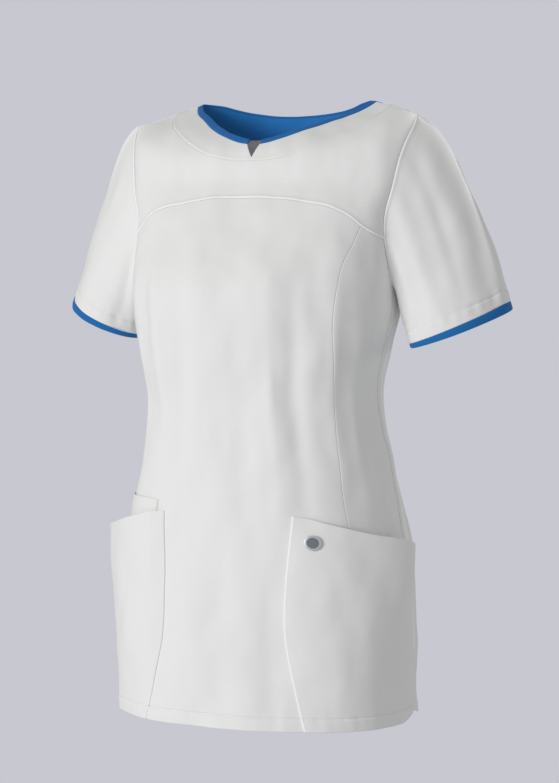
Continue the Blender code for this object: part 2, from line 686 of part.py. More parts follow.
def build_sleeves(rings, finishes, collection):
    """Both sleeves, tubes from the armhole to the binding, and the bindings."""
    rows = steps(SLEEVE_ROWS, 0, CUFF_TRIM_READING)
    end_rows = steps(1, CUFF_TRIM_READING, 1)
    proud = (TRIM_WALL - WALL) / 2
    for side, ring in rings.items():
        mirror = [ring.size["mirror"], 1, 1]
        for name, readings, wall, raised, top_gap, finish in (
                ("sleeve_", rows, WALL, 0, TUBE_SEAM_GAP, "white"),
                ("cuff_trim_", end_rows, TRIM_WALL, proud, SEAM_GAP / 2, "blue")):
            tube = ring.sleeve(readings)
            normals = grid_normals(tube, closed=True)
            tube = pulled_in(tube, normals, SEAM_GAP / 2, ("bottom",) * (readings[0] == 0),
                             closed=True)
            tube = pulled_in(tube, normals, top_gap, ("top",), closed=True)
            away = np.sum(normals[-1] * (tube[-1] - tube[-1].mean(axis=0)))
            normals *= math.copysign(1, away)
            if readings[0] == 0:
                normals[0] = ring.mitre
            cloth_wall(name + side, (tube + normals * raised * MM) * mirror,
                       (tube - normals * (wall - raised) * MM) * mirror,
                       finishes[finish], collection, closed=True)


def pocket_edges(lines, across, down):
    """Places round the hip pocket: mouth, hem, front seam and side."""
    front_top = place_on_body(POCKET_TOP_FRONT[1], x=POCKET_TOP_FRONT[0])
    side_top = (90.0, place_on_body(POCKET_SIDE_HEIGHT, y_from_side=0)[1])
    mouth = line_through([front_top, *(place_on_body(z, x=x) for x, z in POCKET_MOUTH),
                          side_top])(across)
    seam = line_through([front_top, *(place_on_body(z, x=x) for x, z in POCKET_SEAM)])(down)
    slit_top = tuple(lines.front_slit[0])
    side_rows = np.linspace(side_top[1], slit_top[1], 5)[:-1]
    side = line_through([*((90.0, row) for row in side_rows),
                         *map(tuple, lines.front_slit)])(down)
    hem = hem_line(seam[-1, 0], lines.front_corner, across)
    return mouth, hem, seam, side


def pocket_gape(across, down, most):
    """How far the pocket stands off the panel, in millimetres, most at the mouth's side end."""
    s, t = across[None, :], down[:, None]
    round_side = s**1.6 * (1 - s**22)
    return (most * (0.35 * (1 - t)**6 + 0.65 * (1 - t)) * round_side
            + POCKET_LOW_GAPE * np.sin(np.pi * s) * np.sin(np.pi * np.minimum(t * 1.1, 1)))


def build_pockets(lines, finishes, collection):
    """Two hip pockets, the phone pocket under the right one, and the badge."""
    across = 1 - (1 - steps(POCKET_COLUMNS))**1.5
    down = steps(POCKET_ROWS)**1.25
    mouth, hem, seam, side_edge = pocket_edges(lines, across, down)
    left_places = edge_patch(mouth, hem, seam, side_edge, across, down)
    over_phone = np.clip(across / 0.1, 0, 1) * np.clip((1 - across) / 0.05, 0, 1)
    over_phone = PHONE_LIFT * over_phone[None, :] * np.clip((1 - down) / 0.3, 0, 1)[:, None]
    for side, most in POCKET_GAPES.items():
        places = left_places if side == "left" else other_side(left_places)
        off_panel = pocket_gape(across, down, most) + LAYER_GAP + WALL
        if side == "right":
            off_panel += over_phone
        points = body_points_of(places)
        normals = body_normal(places[..., 0], places[..., 1])
        sunk = pocket_gape(across, down, most) * POCKET_MOUTH_SINKS
        outer = points + normals * off_panel[..., None] * MM
        outer[..., 2] -= sunk * MM
        facing = grid_normals(outer)
        facing *= np.sign(np.sum(facing * normals, axis=-1, keepdims=True))
        outer = pulled_in(outer, facing, POCKET_EDGE_CLEARANCE, ("right", "bottom"))
        cloth_wall("pocket_" + side, outer, outer - facing * WALL * MM, finishes["white"],
                   collection)
        if side == "left":
            build_badge(outer, facing, across, down, finishes["metal"], collection)

    corners = {(x, z): place_on_body(z, x=-x)
               for x in (PHONE_POCKET_FRONT_X, PHONE_POCKET_BACK_X)
               for z in (PHONE_POCKET_TOP, PHONE_POCKET_BOTTOM)}
    edges = [line_through([corners[start], corners[end]])(steps(count))
             for start, end, count in (
                 ((PHONE_POCKET_FRONT_X, PHONE_POCKET_TOP),
                  (PHONE_POCKET_BACK_X, PHONE_POCKET_TOP), PHONE_COLUMNS),
                 ((PHONE_POCKET_FRONT_X, PHONE_POCKET_BOTTOM),
                  (PHONE_POCKET_BACK_X, PHONE_POCKET_BOTTOM), PHONE_COLUMNS),
                 ((PHONE_POCKET_FRONT_X, PHONE_POCKET_TOP),
                  (PHONE_POCKET_FRONT_X, PHONE_POCKET_BOTTOM), PHONE_ROWS),
                 ((PHONE_POCKET_BACK_X, PHONE_POCKET_TOP),
                  (PHONE_POCKET_BACK_X, PHONE_POCKET_BOTTOM), PHONE_ROWS))]
    places = edge_patch(*edges)
    points = body_points_of(places)
    normals = body_normal(places[..., 0], places[..., 1])
    cloth_wall("phone_pocket", points + normals * (PHONE_POCKET_GAP + WALL) * MM,
               points + normals * PHONE_POCKET_GAP * MM, finishes["white"], collection)


def build_badge(outer, facing, across, down, metal, collection):
    """A small oval plate that lies on the pocket."""
    column = np.searchsorted(across, BADGE_PLACE[0])
    row = np.searchsorted(down, BADGE_PLACE[1])
    f = (BADGE_PLACE[0] - across[column - 1]) / (across[column] - across[column - 1])
    g = (BADGE_PLACE[1] - down[row - 1]) / (down[row] - down[row - 1])
    near_row = outer[row - 1, column - 1:column + 1]
    far_row = outer[row, column - 1:column + 1]
    at_place = near_row * (1 - g) + far_row * g
    middle = Vector(at_place[0] * (1 - f) + at_place[1] * f)
    along = Vector(at_place[1] - at_place[0]).normalized()
    normal = Vector(facing[row, column])
    normal = (normal - along * along.dot(normal)).normalized()
    up = normal.cross(along)
    turn = Matrix((along, up, normal)).transposed().to_4x4()
    lift = LAYER_GAP + BADGE_THICKNESS / 2
    place = Matrix.Translation(middle + normal * lift * MM)
    size = Matrix.Diagonal((BADGE_LENGTH / 2 * MM, BADGE_HEIGHT / 2 * MM,
                            BADGE_THICKNESS * MM, 1))
    plate = bmesh.new()
    bmesh.ops.create_cone(plate, cap_ends=True, segments=BADGE_SIDES, radius1=1, radius2=1,
                          depth=1, matrix=place @ turn @ size)
    bmesh.ops.recalc_face_normals(plate, faces=plate.faces)
    mesh = bpy.data.meshes.new("pocket_badge")
    plate.to_mesh(mesh)
    plate.free()
    mesh.materials.append(metal)
    collection.objects.link(bpy.data.objects.new("pocket_badge", mesh))


def main():
    for thing in list(bpy.data.objects):
        bpy.data.objects.remove(thing, do_unlink=True)
    collection = bpy.data.collections.new(COLLECTION)
    bpy.context.scene.collection.children.link(collection)
    finishes = {
        "white": material("white_cloth", (0.82, 0.83, 0.86), 0.85),
        "blue": material("blue_cloth", (0.035, 0.25, 0.55), 0.8),
        "metal": material("brushed_metal", (0.55, 0.56, 0.58), 0.35, 1.0),
    }
    lines = Lines()
    rings = {side: ArmholeRing(lines, side) for side in SLEEVES}
    build_torso(lines, rings, finishes["white"], collection)
    build_back(lines, rings, finishes, collection)
    build_neck_trim(lines, finishes, collection)
    build_sleeves(rings, finishes, collection)
    build_pockets(lines, finishes, collection)


main()
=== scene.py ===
# Work tunic, dressed: cloth panels, bindings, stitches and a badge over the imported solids.
# Sizes are in millimetres; mm turns them to metres where a point is made.
import math

import bmesh
import bpy
import numpy as np
from mathutils import Matrix, Vector, noise


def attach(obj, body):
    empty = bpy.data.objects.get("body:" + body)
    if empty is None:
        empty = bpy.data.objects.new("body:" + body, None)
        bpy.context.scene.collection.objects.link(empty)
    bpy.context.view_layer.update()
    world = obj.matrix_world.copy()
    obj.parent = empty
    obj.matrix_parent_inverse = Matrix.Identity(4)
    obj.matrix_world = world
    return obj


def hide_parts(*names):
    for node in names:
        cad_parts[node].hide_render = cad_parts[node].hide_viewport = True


mm = 0.001
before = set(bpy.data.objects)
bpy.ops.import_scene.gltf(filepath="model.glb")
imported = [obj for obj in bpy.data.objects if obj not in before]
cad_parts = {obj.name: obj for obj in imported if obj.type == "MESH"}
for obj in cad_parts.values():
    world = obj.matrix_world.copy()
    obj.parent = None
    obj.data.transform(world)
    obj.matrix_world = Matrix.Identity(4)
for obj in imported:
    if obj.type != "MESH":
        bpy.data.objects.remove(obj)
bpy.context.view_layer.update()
scene = bpy.context.scene
print("solids loaded")

# body form: the same sections and folds as the solids stand on
body = {
    "columns": ("height", "riseAtCentre", "y", "backAtCentre", "halfWidth",
                "front", "back", "frontPower", "backPower"),
    "sections": (
        (-15, 44, -39, 66, 180.5, 0, 0, 2.0, 2.0),       # shoulder ridge
        (-38, 0, -40, 0, 181, 49, 84, 2.4, 2.6),         # collarbone
        (-88, 0, -44, 0, 173.5, 65, 103, 2.8, 3.0),      # chest
        (-133, 0, -50, 0, 163, 87, 112, 2.5, 3.0),       # armhole
        (-205, 0, -57, 0, 162, 119, 112, 2.3, 2.5),      # bust
        (-278, 0, -60, 0, 151, 116, 99, 2.3, 2.3),       # under the bust
        (-345, 0, -58, 0, 143.5, 112, 79, 2.3, 2.3),     # waist
        (-432, 0, -49, 0, 158, 123, 89, 2.3, 2.3),       # high hip
        (-515, 0, -49, 0, 175, 128, 108, 2.3, 2.3),      # hip
        (-612, 0, -42, 0, 178, 143, 109, 2.3, 2.3),      # thigh
        (-711, 0, -40, 0, 180.5, 151, 108, 2.3, 2.3),    # hem
    ),
    "underarmRow": 4,
    "hemRow": 10,
    # top angle and height, bottom angle and height, depth inward, width
    "folds": (
        (28, -150, 34, -490, 4.5, 15), (17, -170, 22, -480, -1.5, 9),
        (50, -170, 54, -430, -2.5, 12), (1, -165, 9, -530, 3.2, 16),
        (-33, -140, -34, -400, -3.8, 14), (-17, -145, -20, -430, 3.0, 14),
        (20, -500, 21, -700, 3.0, 15), (-12, -500, -10, -720, -2.5, 18),
        (152, -140, 160, -470, 5.0, 18), (196, -120, 188, -430, 4.5, 18),
        (215, -180, 222, -460, -4.0, 20), (172, -430, 168, -700, 4.0, 18),
        (135, -250, 140, -560, 3.5, 16),
        # smaller ones that the solids leave out
        (15.5, -520, 16.5, -705, 2.2, 11), (36, -118, 40, -290, 2.2, 14),
        (-20, -560, -28, -705, 1.6, 13), (4, -560, 9, -712, -1.6, 12),
        (-52, -170, -56, -420, -2.0, 12), (68, -250, 66, -470, -1.6, 11),
    ),
    "quarterArc": 250,
    "leftShoulderRise": 7,
    # normals are read over these degrees and rows, and clear of the shoulder's tip
    "normalStep": (0.8, 0.02), "tipReach": 6,
}
sections = np.array(body["sections"], float)


def hermite(f):
    # weights of the start, its slope, the end and its slope
    return (2 * f**3 - 3 * f**2 + 1, f**3 - 2 * f**2 + f, -2 * f**3 + 3 * f**2, f**3 - f**2)


def spline(knots, values, at):
    # a smooth cubic through values at rising knots
    knots, values = np.asarray(knots, float), np.asarray(values, float)
    gaps = np.diff(knots)
    rises = np.diff(values, axis=0) / gaps[:, None]
    slopes = np.empty_like(values)
    slopes[0], slopes[-1] = rises[0], rises[-1]
    if len(rises) > 1:
        share = (gaps[:-1] / (gaps[:-1] + gaps[1:]))[:, None]
        slopes[1:-1] = rises[:-1] * (1 - share) + rises[1:] * share
        slopes[0] = 1.5 * rises[0] - 0.5 * slopes[1]
        slopes[-1] = 1.5 * rises[-1] - 0.5 * slopes[-2]
    at = np.clip(np.asarray(at, float), knots[0], knots[-1])
    part = np.clip(np.searchsorted(knots, at, side="right") - 1, 0, len(gaps) - 1)
    f, gap = ((at - knots[part]) / gaps[part])[:, None], gaps[part][:, None]
    a, b, c, d = hermite(f)
    return (a * values[part] + b * gap * slopes[part]
            + c * values[part + 1] + d * gap * slopes[part + 1])


def ramp(x, low, high):
    # rises softly from 0 at low to 1 at high
    f = np.clip((x - low) / (high - low), 0, 1)
    return f * f * (3 - 2 * f)


def foldDepth(angle, height):
    depth = np.zeros_like(height)
    for topAngle, top, bottomAngle, bottom, deep, wide in body["folds"]:
        along = (top - height) / (top - bottom)
        middle = topAngle + (bottomAngle - topAngle) * along
        away = (angle - middle + 180) % 360 - 180
        across = away / 90 * body["quarterArc"] / wide
        depth += deep * np.sin(np.pi * np.clip(along, 0, 1))**0.8 * np.exp(-across**2)
    return depth


def bodyPoints(places):
    # angle 0 is the centre front and 90 the left side; row 0 is the shoulder ridge
    places = np.asarray(places, float)
    shape = places.shape[:-1]
    angle, row = places.reshape(-1, 2).T
    height, rise, y, backShift, halfWidth, front, back, frontPower, backPower = spline(
        np.arange(len(sections)), sections, row).T
    sine, cosine = np.sin(np.radians(angle)), np.cos(np.radians(angle))
    power = 2 / np.where(cosine > 0, frontPower, backPower)
    depth = np.where(cosine > 0, -front, back)
    z = height + rise * cosine**2
    fromUnderarm = np.clip(1 - row / body["underarmRow"], 0, 1)
    z += body["leftShoulderRise"] * np.clip(sine, 0, 1)**3 * fromUnderarm**2
    inward = foldDepth(angle, z)
    x = halfWidth * np.sign(sine) * np.abs(sine)**power - inward * sine
    y = y + backShift * cosine**2 + depth * np.abs(cosine)**power + inward * cosine
    return (np.stack([x, y, z], axis=-1) * mm).reshape(*shape, 3)


def bodyNormals(places):
    angle, row = places[..., 0], places[..., 1]
    turned = (angle + 180) % 360 - 180
    fromSide = np.abs(turned) - 90
    (stepAngle, stepRow), reach = body["normalStep"], body["tipReach"]
    atTip = (row < stepRow) & (np.abs(fromSide) < reach)
    clear = (90 + np.where(fromSide > 0, reach, -reach)) * np.sign(turned)
    angle = np.where(atTip, clear, angle)

    def near(addAngle, newRow):
        return bodyPoints(np.stack([angle + addAngle, newRow], axis=-1))
    around = near(stepAngle, row) - near(-stepAngle, row)
    down = (near(0, np.minimum(row + stepRow, body["hemRow"]))
            - near(0, np.maximum(row - stepRow, 0)))
    return unit(np.cross(down, around))


def unit(vectors):
    return vectors / np.maximum(np.linalg.norm(vectors, axis=-1, keepdims=True), 1e-12)


def placeAt(height, x=None, fromSide=None, behind=False):
    # angle and row of a point known by its height and its x, or its distance from the side line
    low, high = 0.0, float(body["hemRow"])
    for _ in range(48):
        middle = (low + high) / 2
        row = dict(zip(body["columns"], spline(np.arange(len(sections)), sections, [middle])[0]))
        power = row["backPower"] if behind else row["frontPower"]
        if x is not None:
            angle = math.asin(min(1.0, abs(x) / row["halfWidth"])**(power / 2))
        else:
            depth = max(row["back"] if behind else row["front"], 1e-6)
            angle = math.acos(min(1.0, abs(fromSide) / depth)**(power / 2))
        if row["height"] + row["riseAtCentre"] * math.cos(angle)**2 > height:
            low = middle
        else:
            high = middle
    angle = math.degrees(angle)
    angle = 180 - angle if behind else angle
    return (angle if x is None or x >= 0 else -angle), (low + high) / 2


def armholePlace(height, y, behind=False):
    ySide = np.interp(-height, -sections[:, 0], sections[:, 2])
    return placeAt(height, fromSide=y - ySide, behind=behind)


def lineThrough(places):
    # a curve over the body through places, read from 0 to 1 by its length
    places = np.array(places, float)
    lengths = np.linalg.norm(np.diff(bodyPoints(places), axis=0), axis=1)
    knots = np.concatenate([[0], np.cumsum(lengths)]) / lengths.sum()
    return lambda t: spline(knots, places, t)


def joined(*lists):
    return np.concatenate([lists[0]] + [part[1:] for part in lists[1:]])


def along(places, readings):
    # a list of close places read again by length, from 0 to 1
    lengths = np.linalg.norm(np.diff(bodyPoints(places), axis=0), axis=1)
    knots = np.concatenate([[0], np.cumsum(lengths)])
    at = np.asarray(readings) * knots[-1]
    return np.stack([np.interp(at, knots, places[:, 0]), np.interp(at, knots, places[:, 1])], 1)


def lengthOf(places):
    return np.linalg.norm(np.diff(bodyPoints(places), axis=0), axis=1).sum() / mm


def mirrored(places):
    return places * np.array([-1.0, 1.0])


def otherHalf(places):
    # places on the left half of the back, moved to its right half
    return places * [-1.0, 1.0] + [360.0, 0.0]


def behindRidge(places):
    # a line along the shoulder ridge, read from behind and the other way
    return places[::-1] * [-1, 1] + [180, 0]


def acrossFront(half):
    return np.concatenate([mirrored(half)[::-1], half[1:]])


def acrossBack(half):
    return np.concatenate([half, otherHalf(half)[::-1][1:]])


closeRows = {
    "byEdge": (0, 0.3, 0.65, 1.1, 1.7, 2.6, 3.9),
    "byLine": (-2.6, -1.7, -1.0, -0.5, 0, 0.5, 1.0, 1.7, 2.6), "lineClears": 3.2,
}


def readings(length, cell, fine=()):
    # readings from 0 to 1, close together by both edges, which are rolled, and by the fine
    # lines, in mm from the start, or from the end if negative
    start = np.array(closeRows["byEdge"])
    end = length - start[::-1]
    count = max(2, int(round((end[0] - start[-1]) / cell)))
    middle = np.linspace(start[-1], end[0], count + 1)
    at = np.concatenate([start[:-1], middle, end[1:]])
    for place in fine:
        place = place + length if place < 0 else place
        around = place + np.array(closeRows["byLine"])
        clear = np.abs(at - place) > closeRows["lineClears"]
        at = np.sort(np.concatenate([at[clear], around]))
    return at / length


def edgePatch(top, bottom, left, right, across, down, fade=1):
    # what the left and right edges add of their own dies away inwards
    s, t = across[None, :, None], down[:, None, None]
    upper, lower, near, far = top[None], bottom[None], left[:, None], right[:, None]
    ownNear = near - (1 - t) * upper[:, :1] - t * lower[:, :1]
    ownFar = far - (1 - t) * upper[:, -1:] - t * lower[:, -1:]
    return (1 - t) * upper + t * lower + (1 - s)**fade * ownNear + s**fade * ownFar


def patchOf(top, bottom, left, right, cell, fade=1, fineAcross=(), fineDown=()):
    across = readings(max(lengthOf(top), lengthOf(bottom)), cell, fine=fineAcross)
    down = readings(max(lengthOf(left), lengthOf(right)), cell, fine=fineDown)
    return edgePatch(along(top, across), along(bottom, across), along(left, down),
                     along(right, down), across, down, fade)


def gridNormals(points, closed=False):
    if closed:
        loop = points[:, :-1]
        across = np.roll(loop, -1, axis=1) - np.roll(loop, 1, axis=1)
        across = np.concatenate([across, across[:, :1]], axis=1)
    else:
        across = np.gradient(points, axis=1)
    return unit(np.cross(np.gradient(points, axis=0), across))


def facingLike(points, normals, closed=False):
    # a grid's own normals, on the side that normals are on
    facingOut = gridNormals(points, closed)
    return facingOut * np.sign(np.sum(facingOut * normals, axis=-1, keepdims=True))


def edgeDistances(points):
    # millimetres from each edge, measured along the cloth
    across = np.cumsum(np.linalg.norm(np.diff(points, axis=1), axis=2), axis=1) / mm
    down = np.cumsum(np.linalg.norm(np.diff(points, axis=0), axis=2), axis=0) / mm
    left = np.concatenate([np.zeros_like(across[:, :1]), across], axis=1)
    top = np.concatenate([np.zeros_like(down[:1]), down], axis=0)
    return {"left": left, "right": left[:, -1:] - left, "top": top, "bottom": top[-1:] - top}


def linear(hexColour):
    values = [int(hexColour[i:i + 2], 16) / 255 for i in (1, 3, 5)]
    return tuple(v / 12.92 if v <= 0.04045 else ((v + 0.055) / 1.055)**2.4 for v in values)


def addNode(tree, kind, links=(), **settings):
    # links are (from socket, input name or number); settings are inputs or properties
    node = tree.nodes.new(kind)
    for name, value in settings.items():
        if hasattr(node, name):
            setattr(node, name, value)
        else:
            node.inputs[name.replace("_", " ")].default_value = value
    for socket, name in links:
        tree.links.new(socket, node.inputs[name])
    return node


def newMaterial(name, hexColour, roughness, **settings):
    # settings are more inputs of its shader
    material = bpy.data.materials.new(name)
    material.use_nodes = True
    inputs = material.node_tree.nodes["Principled BSDF"].inputs
    inputs["Base Color"].default_value = (*linear(hexColour), 1)
    inputs["Roughness"].default_value = roughness
    for setting, value in settings.items():
        inputs[setting.replace("_", " ")].default_value = value
    return material


def addRelief(material, coordinates, mapping, texture, strength, height, **settings):
    # a bump from a texture, which reads its coordinates through a mapping
    tree = material.node_tree
    where = addNode(tree, "ShaderNodeTexCoord")
    mapped = addNode(tree, "ShaderNodeMapping", [(where.outputs[coordinates], "Vector")],
                     **mapping)
    lines = addNode(tree, texture, [(mapped.outputs["Vector"], "Vector")], **settings)
    bump = addNode(tree, "ShaderNodeBump", [(lines.outputs["Fac"], "Height")],
                   Strength=strength, Distance=height * mm)
    tree.links.new(bump.outputs["Normal"], tree.nodes["Principled BSDF"].inputs["Normal"])


def newObject(name, built, materials, sharp=None):
    # a finished bmesh as a smooth object at the origin, with edges over sharp degrees left sharp
    mesh = bpy.data.meshes.new(name)
    built.to_mesh(mesh)
    built.free()
    mesh.shade_smooth()
    if sharp:
        mesh.set_sharp_from_angle(angle=math.radians(sharp))
    for material in materials:
        mesh.materials.append(material)
    made = bpy.data.objects.new(name, mesh)
    scene.collection.objects.link(made)
    return made


# the cloths, by their common names
cloths = {
    # polyester-cotton twill, bleached: soft and matt, a faint sheen at grazing angles
    "whiteTwill": {"colour": "#eeeeed", "roughness": 0.88, "sheen": 0.25, "relief": 0.10},
    # the same cloth dyed azure, for the bindings
    "azureTwill": {"colour": "#1a6cb2", "roughness": 0.85, "sheen": 0.06, "relief": 0.12},
    # the facing inside the neck, the same dye, painted brighter than the bindings: painted light
    # where the inside of the neck is in shade
    "facingTwillPaintedLight": {"colour": "#2a80d0", "roughness": 0.85, "sheen": 0.06, "relief": 0.10},
    # the white cloth, paler on raised seam edges: a painted highlight where those edges catch the
    # light
    "highlightPaintedTwill": {"colour": "#f9f9f8", "roughness": 0.8, "sheen": 0.3, "relief": 0.06},
    # spun polyester sewing thread
    "sewingThread": {"colour": "#f4f4f2", "roughness": 0.6, "sheen": 0.3, "relief": 0},
}


# twill has diagonal ribs about 0.5 mm apart; they are drawn 4.1 mm apart so that they show,
# and ownDistance is how far apart the wave texture has them at scale 1
twill = {"ribsApart": 4.086, "ownDistance": math.pi / 10, "slant": 52, "height": 0.25}


def makeCloth(name):
    cloth = cloths[name]
    material = newMaterial(name, cloth["colour"], cloth["roughness"],
                           Sheen_Weight=cloth["sheen"], Sheen_Roughness=0.5,
                           Specular_IOR_Level=0.25)
    if cloth["relief"]:
        addRelief(material, "UV", {"Rotation": (0, 0, math.radians(twill["slant"]))},
                  "ShaderNodeTexWave", cloth["relief"], twill["height"],
                  Scale=twill["ownDistance"] / (twill["ribsApart"] * mm),
                  Distortion=0.6, Detail=1.0, Detail_Scale=1.5)
    return material


finishes = {name: makeCloth(name) for name in cloths}
print("cloths made")


# how a grid of points becomes a piece of cloth
shell = {
    "wall": 0.9, "hemWall": 0.7, "thinnest": 0.06, "edgeRound": 1.1,
    "rollRadius": 1.3, "rollDepth": 0.75, "calmBySeam": 26, "calmStep": 3, "batch": 4000,
}
crumples = {
    # size across, size up and down, height
    "broad": (62, 104, 4.0), "small": (27, 46, 1.7), "fine": (12, 18, 0.28),
}


def noiseAt(points, wide, long, height):
    flat = points.reshape(-1, 3) / (np.array([wide, wide, long]) * mm)
    return height * np.array([noise.noise(Vector(p)) for p in flat]).reshape(points.shape[:-1])


def crumple(points, amount=1.0):
    # soft dents and swellings, longer up and down than across, calmer by the armholes
    lift = sum(noiseAt(points, *size) for size in crumples.values())
    flat = points.reshape(-1, 3)
    calm = np.ones(len(flat))
    for line in calmLines:
        for part in np.array_split(np.arange(len(flat)), len(flat) // shell["batch"] + 1):
            gaps = np.linalg.norm(flat[part][:, None] - line[None, ::shell["calmStep"]], axis=2)
            calm[part] *= ramp(gaps.min(axis=1) / mm, 0, shell["calmBySeam"])
    return amount * lift * calm.reshape(lift.shape)


def roll(distance):
    # how far an edge turns in as it goes into its seam
    near = np.clip(1 - distance / shell["rollRadius"], 0, 1)
    return -shell["rollDepth"] * (1 - np.sqrt(1 - near**2))


def roundedEdge(walls, *distances):
    # how far in a free edge curves, and the walls that thin out to it
    near = np.clip(1 - np.minimum.reduce(distances) / shell["edgeRound"], 0, 1)
    rounding = np.sqrt(1 - near**2)
    return -walls / 2 * (1 - rounding), np.maximum(walls * rounding, shell["thinnest"])


def clothPiece(name, outer, normals, walls, finish, closed, paintedHighlight):
    rows, columns = outer.shape[:2]
    far = edgeDistances(outer)
    inner = (outer - normals * walls[..., None] * mm).reshape(-1, 3)
    u, v = (far["left"] * mm).reshape(-1), (-far["top"] * mm).reshape(-1)
    cloth = bmesh.new()
    bmesh.ops.create_grid(cloth, x_segments=columns - 1, y_segments=rows - 1, size=1)
    place = cloth.verts.layers.int.new("place")
    for number, (vert, point) in enumerate(zip(cloth.verts, outer.reshape(-1, 3))):
        vert[place] = number
        vert.co = point
    uv = cloth.loops.layers.uv.new("weave")
    for face in cloth.faces:
        for loop in face.loops:
            number = loop.vert[place]
            loop[uv].uv = (u[number], v[number])
        # faces on raised seam edges take the paler cloth: a painted highlight
        if paintedHighlight is not None:
            face.material_index = int(all(paintedHighlight.flat[loop.vert[place]] for loop in face.loops))
    if closed:
        bmesh.ops.remove_doubles(cloth, verts=cloth.verts, dist=1e-6)
    second = bmesh.ops.extrude_face_region(cloth, geom=cloth.faces[:], use_keep_orig=True)
    for item in second["geom"]:
        if isinstance(item, bmesh.types.BMVert):
            item.co = inner[item[place]]
    bmesh.ops.recalc_face_normals(cloth, faces=cloth.faces)
    materials = [finish] if paintedHighlight is None else [finish, finishes["highlightPaintedTwill"]]
    return newObject(name + "_cloth", cloth, materials, sharp=60)


# stitches: short threads, half sunk in the cloth
stitching = {"length": 2.7, "gap": 0.9, "radius": 0.34, "sink": 0.1}


def stitchRow(name, paths):
    # paths are lists of (points, normals), one for each row of stitches
    thread = bmesh.new()
    pitch = (stitching["length"] + stitching["gap"]) * mm
    for points, normals in paths:
        steps = np.linalg.norm(np.diff(points, axis=0), axis=1)
        knots = np.concatenate([[0], np.cumsum(steps)])
        count = max(1, int(knots[-1] / pitch))
        for at in (np.arange(count) + 0.5) * knots[-1] / count:
            middle = Vector([np.interp(at, knots, points[:, i]) for i in range(3)])
            ahead = Vector([np.interp(at + 0.5 * mm, knots, points[:, i])
                            - np.interp(at - 0.5 * mm, knots, points[:, i]) for i in range(3)])
            up = Vector([np.interp(at, knots, normals[:, i]) for i in range(3)])
            ahead.normalize()
            side = up.cross(ahead).normalized()
            up = ahead.cross(side)
            place = Matrix.Translation(middle + up * stitching["sink"] * mm)
            turn = Matrix((side, up, ahead)).transposed().to_4x4()
            size = Matrix.Diagonal((stitching["radius"] * mm, stitching["radius"] * mm,
                                    stitching["length"] / 2 * mm, 1))
            bmesh.ops.create_uvsphere(thread, u_segments=6, v_segments=4, radius=1,
                                      matrix=place @ turn @ size)
    piece = newObject(name, thread, [finishes["sewingThread"]])
    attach(piece, "root")
    return piece


def lineAcross(outer, normals, edge, distance, start=0.0, end=1.0):
    # the line on a grid that keeps one distance from an edge
    far = edgeDistances(outer)[edge]
    columns = edge in ("top", "bottom")
    count = outer.shape[1] if columns else outer.shape[0]
    picked = range(int(start * (count - 1)), int(end * (count - 1)) + 1)
    points, ups = [], []
    for number in picked:
        index = np.s_[:, number] if columns else np.s_[number, :]
        knots, column, up = far[index], outer[index], normals[index]
        order = np.argsort(knots)
        if knots.max() < distance:
            continue
        points.append([np.interp(distance, knots[order], column[order, i]) for i in range(3)])
        ups.append([np.interp(distance, knots[order], up[order, i]) for i in range(3)])
    return np.array(points), np.array(ups)


def addPiece(name, finish, outer, normals, walls, paintedHighlight=None, stitches=(),
             closed=False, flip=(1, 1, 1)):
    # a piece of cloth with its stitches; the highlight mask marks raised seam edges, where a paler
    # cloth paints their highlight
    piece = clothPiece(name, outer * flip, normals * flip, walls, finishes[finish], closed, paintedHighlight)
    if stitches:
        rows = [lineAcross(outer * flip, normals * flip, *stitch) for stitch in stitches]
        stitchRow(name + "_stitches", rows)
    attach(piece, "root")
    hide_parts(name)


# seam lines of the wearer's left half, as (x, z), on an armhole (y, z), and on a slit and where
# the back runs on under the front's slit edge (distance from the side line, z)
seams = {
    "neckX": 111.5, "trimWidth": 6.5, "bandWidth": 31.5,
    "frontNeck": ((103, 4.5), (80, -6.5), (52, -20), (30, -29), (8, -34.5)),
    "frontTrim": ((109, 1), (84, -12.5), (54, -27), (30, -36), (8, -41)),
    "band": ((133, -12), (111, -27), (80, -42.5), (56, -53), (27, -59.5), (0, -61)),
    "notchPoint": (2.5, -57),
    "backNeck": ((104, 12), (92, 10.5), (78, 6.5), (63, 3), (45, 0.5), (25, -1.5), (0, -2.5)),
    "backTrim": ((111, 5), (97, 3), (81, -1.5), (65, -5), (46, -7.5), (25, -9), (0, -9.5)),
    "arch": ((0, -104), (40, -105), (78, -109.5), (107, -115.5), (127, -125), (142, -138)),
    "yokeEnd": -152, "princessTopX": 141,
    "princess": ((136, -158), (130.5, -176), (126.5, -208), (122.5, -240), (119, -323),
                 (123, -391), (131, -448), (141, -495), (149, -600), (153, -709.5)),
    "frontArmhole": ((-57, -42), (-69, -72), (-77, -108), (-80, -145), (-75, -176), (-67, -196)),
    "backArmhole": ((-18, -48), (-4, -88), (4, -128), (-4, -168), (-30, -196)),
    "slitTop": -632,
    "frontSlit": ((0.5, -650), (0.8, -668), (3, -687)), "frontCorner": (9.5, -702),
    "backSlit": ((0.8, -650), (2.5, -668), (7, -683)), "backCorner": (15, -695),
    "underlap": ((2, -645), (7, -662), (10, -680), (11, -698)), "underlapInward": 3.6,
    "underHem": ((56, -710.4), (39, -708.2), (23, -705), (8, -701.5)),
    "underHemAngles": (180, 160, 142, 128),
    "cornerRun": 34, "cornerEase": (0.4, 0.25), "notchShare": 0.075,
}


def readingWhere(curve, axis, size):
    # where along a curve its x or its falling z reaches a size
    sign = 1 if axis == 0 else -1
    low, high = 0.0, 1.0
    for _ in range(40):
        middle = (low + high) / 2
        if sign * bodyPoints(curve([middle]))[0, axis] < sign * size * mm:
            low = middle
        else:
            high = middle
    return low


def ridgePlaces(fromX, toX, count=40):
    angles = [math.degrees(math.asin(x / sections[0, 4])) for x in (fromX, toX)]
    angles = np.linspace(*angles, count + 1)
    return np.stack([angles, np.zeros_like(angles)], axis=1)


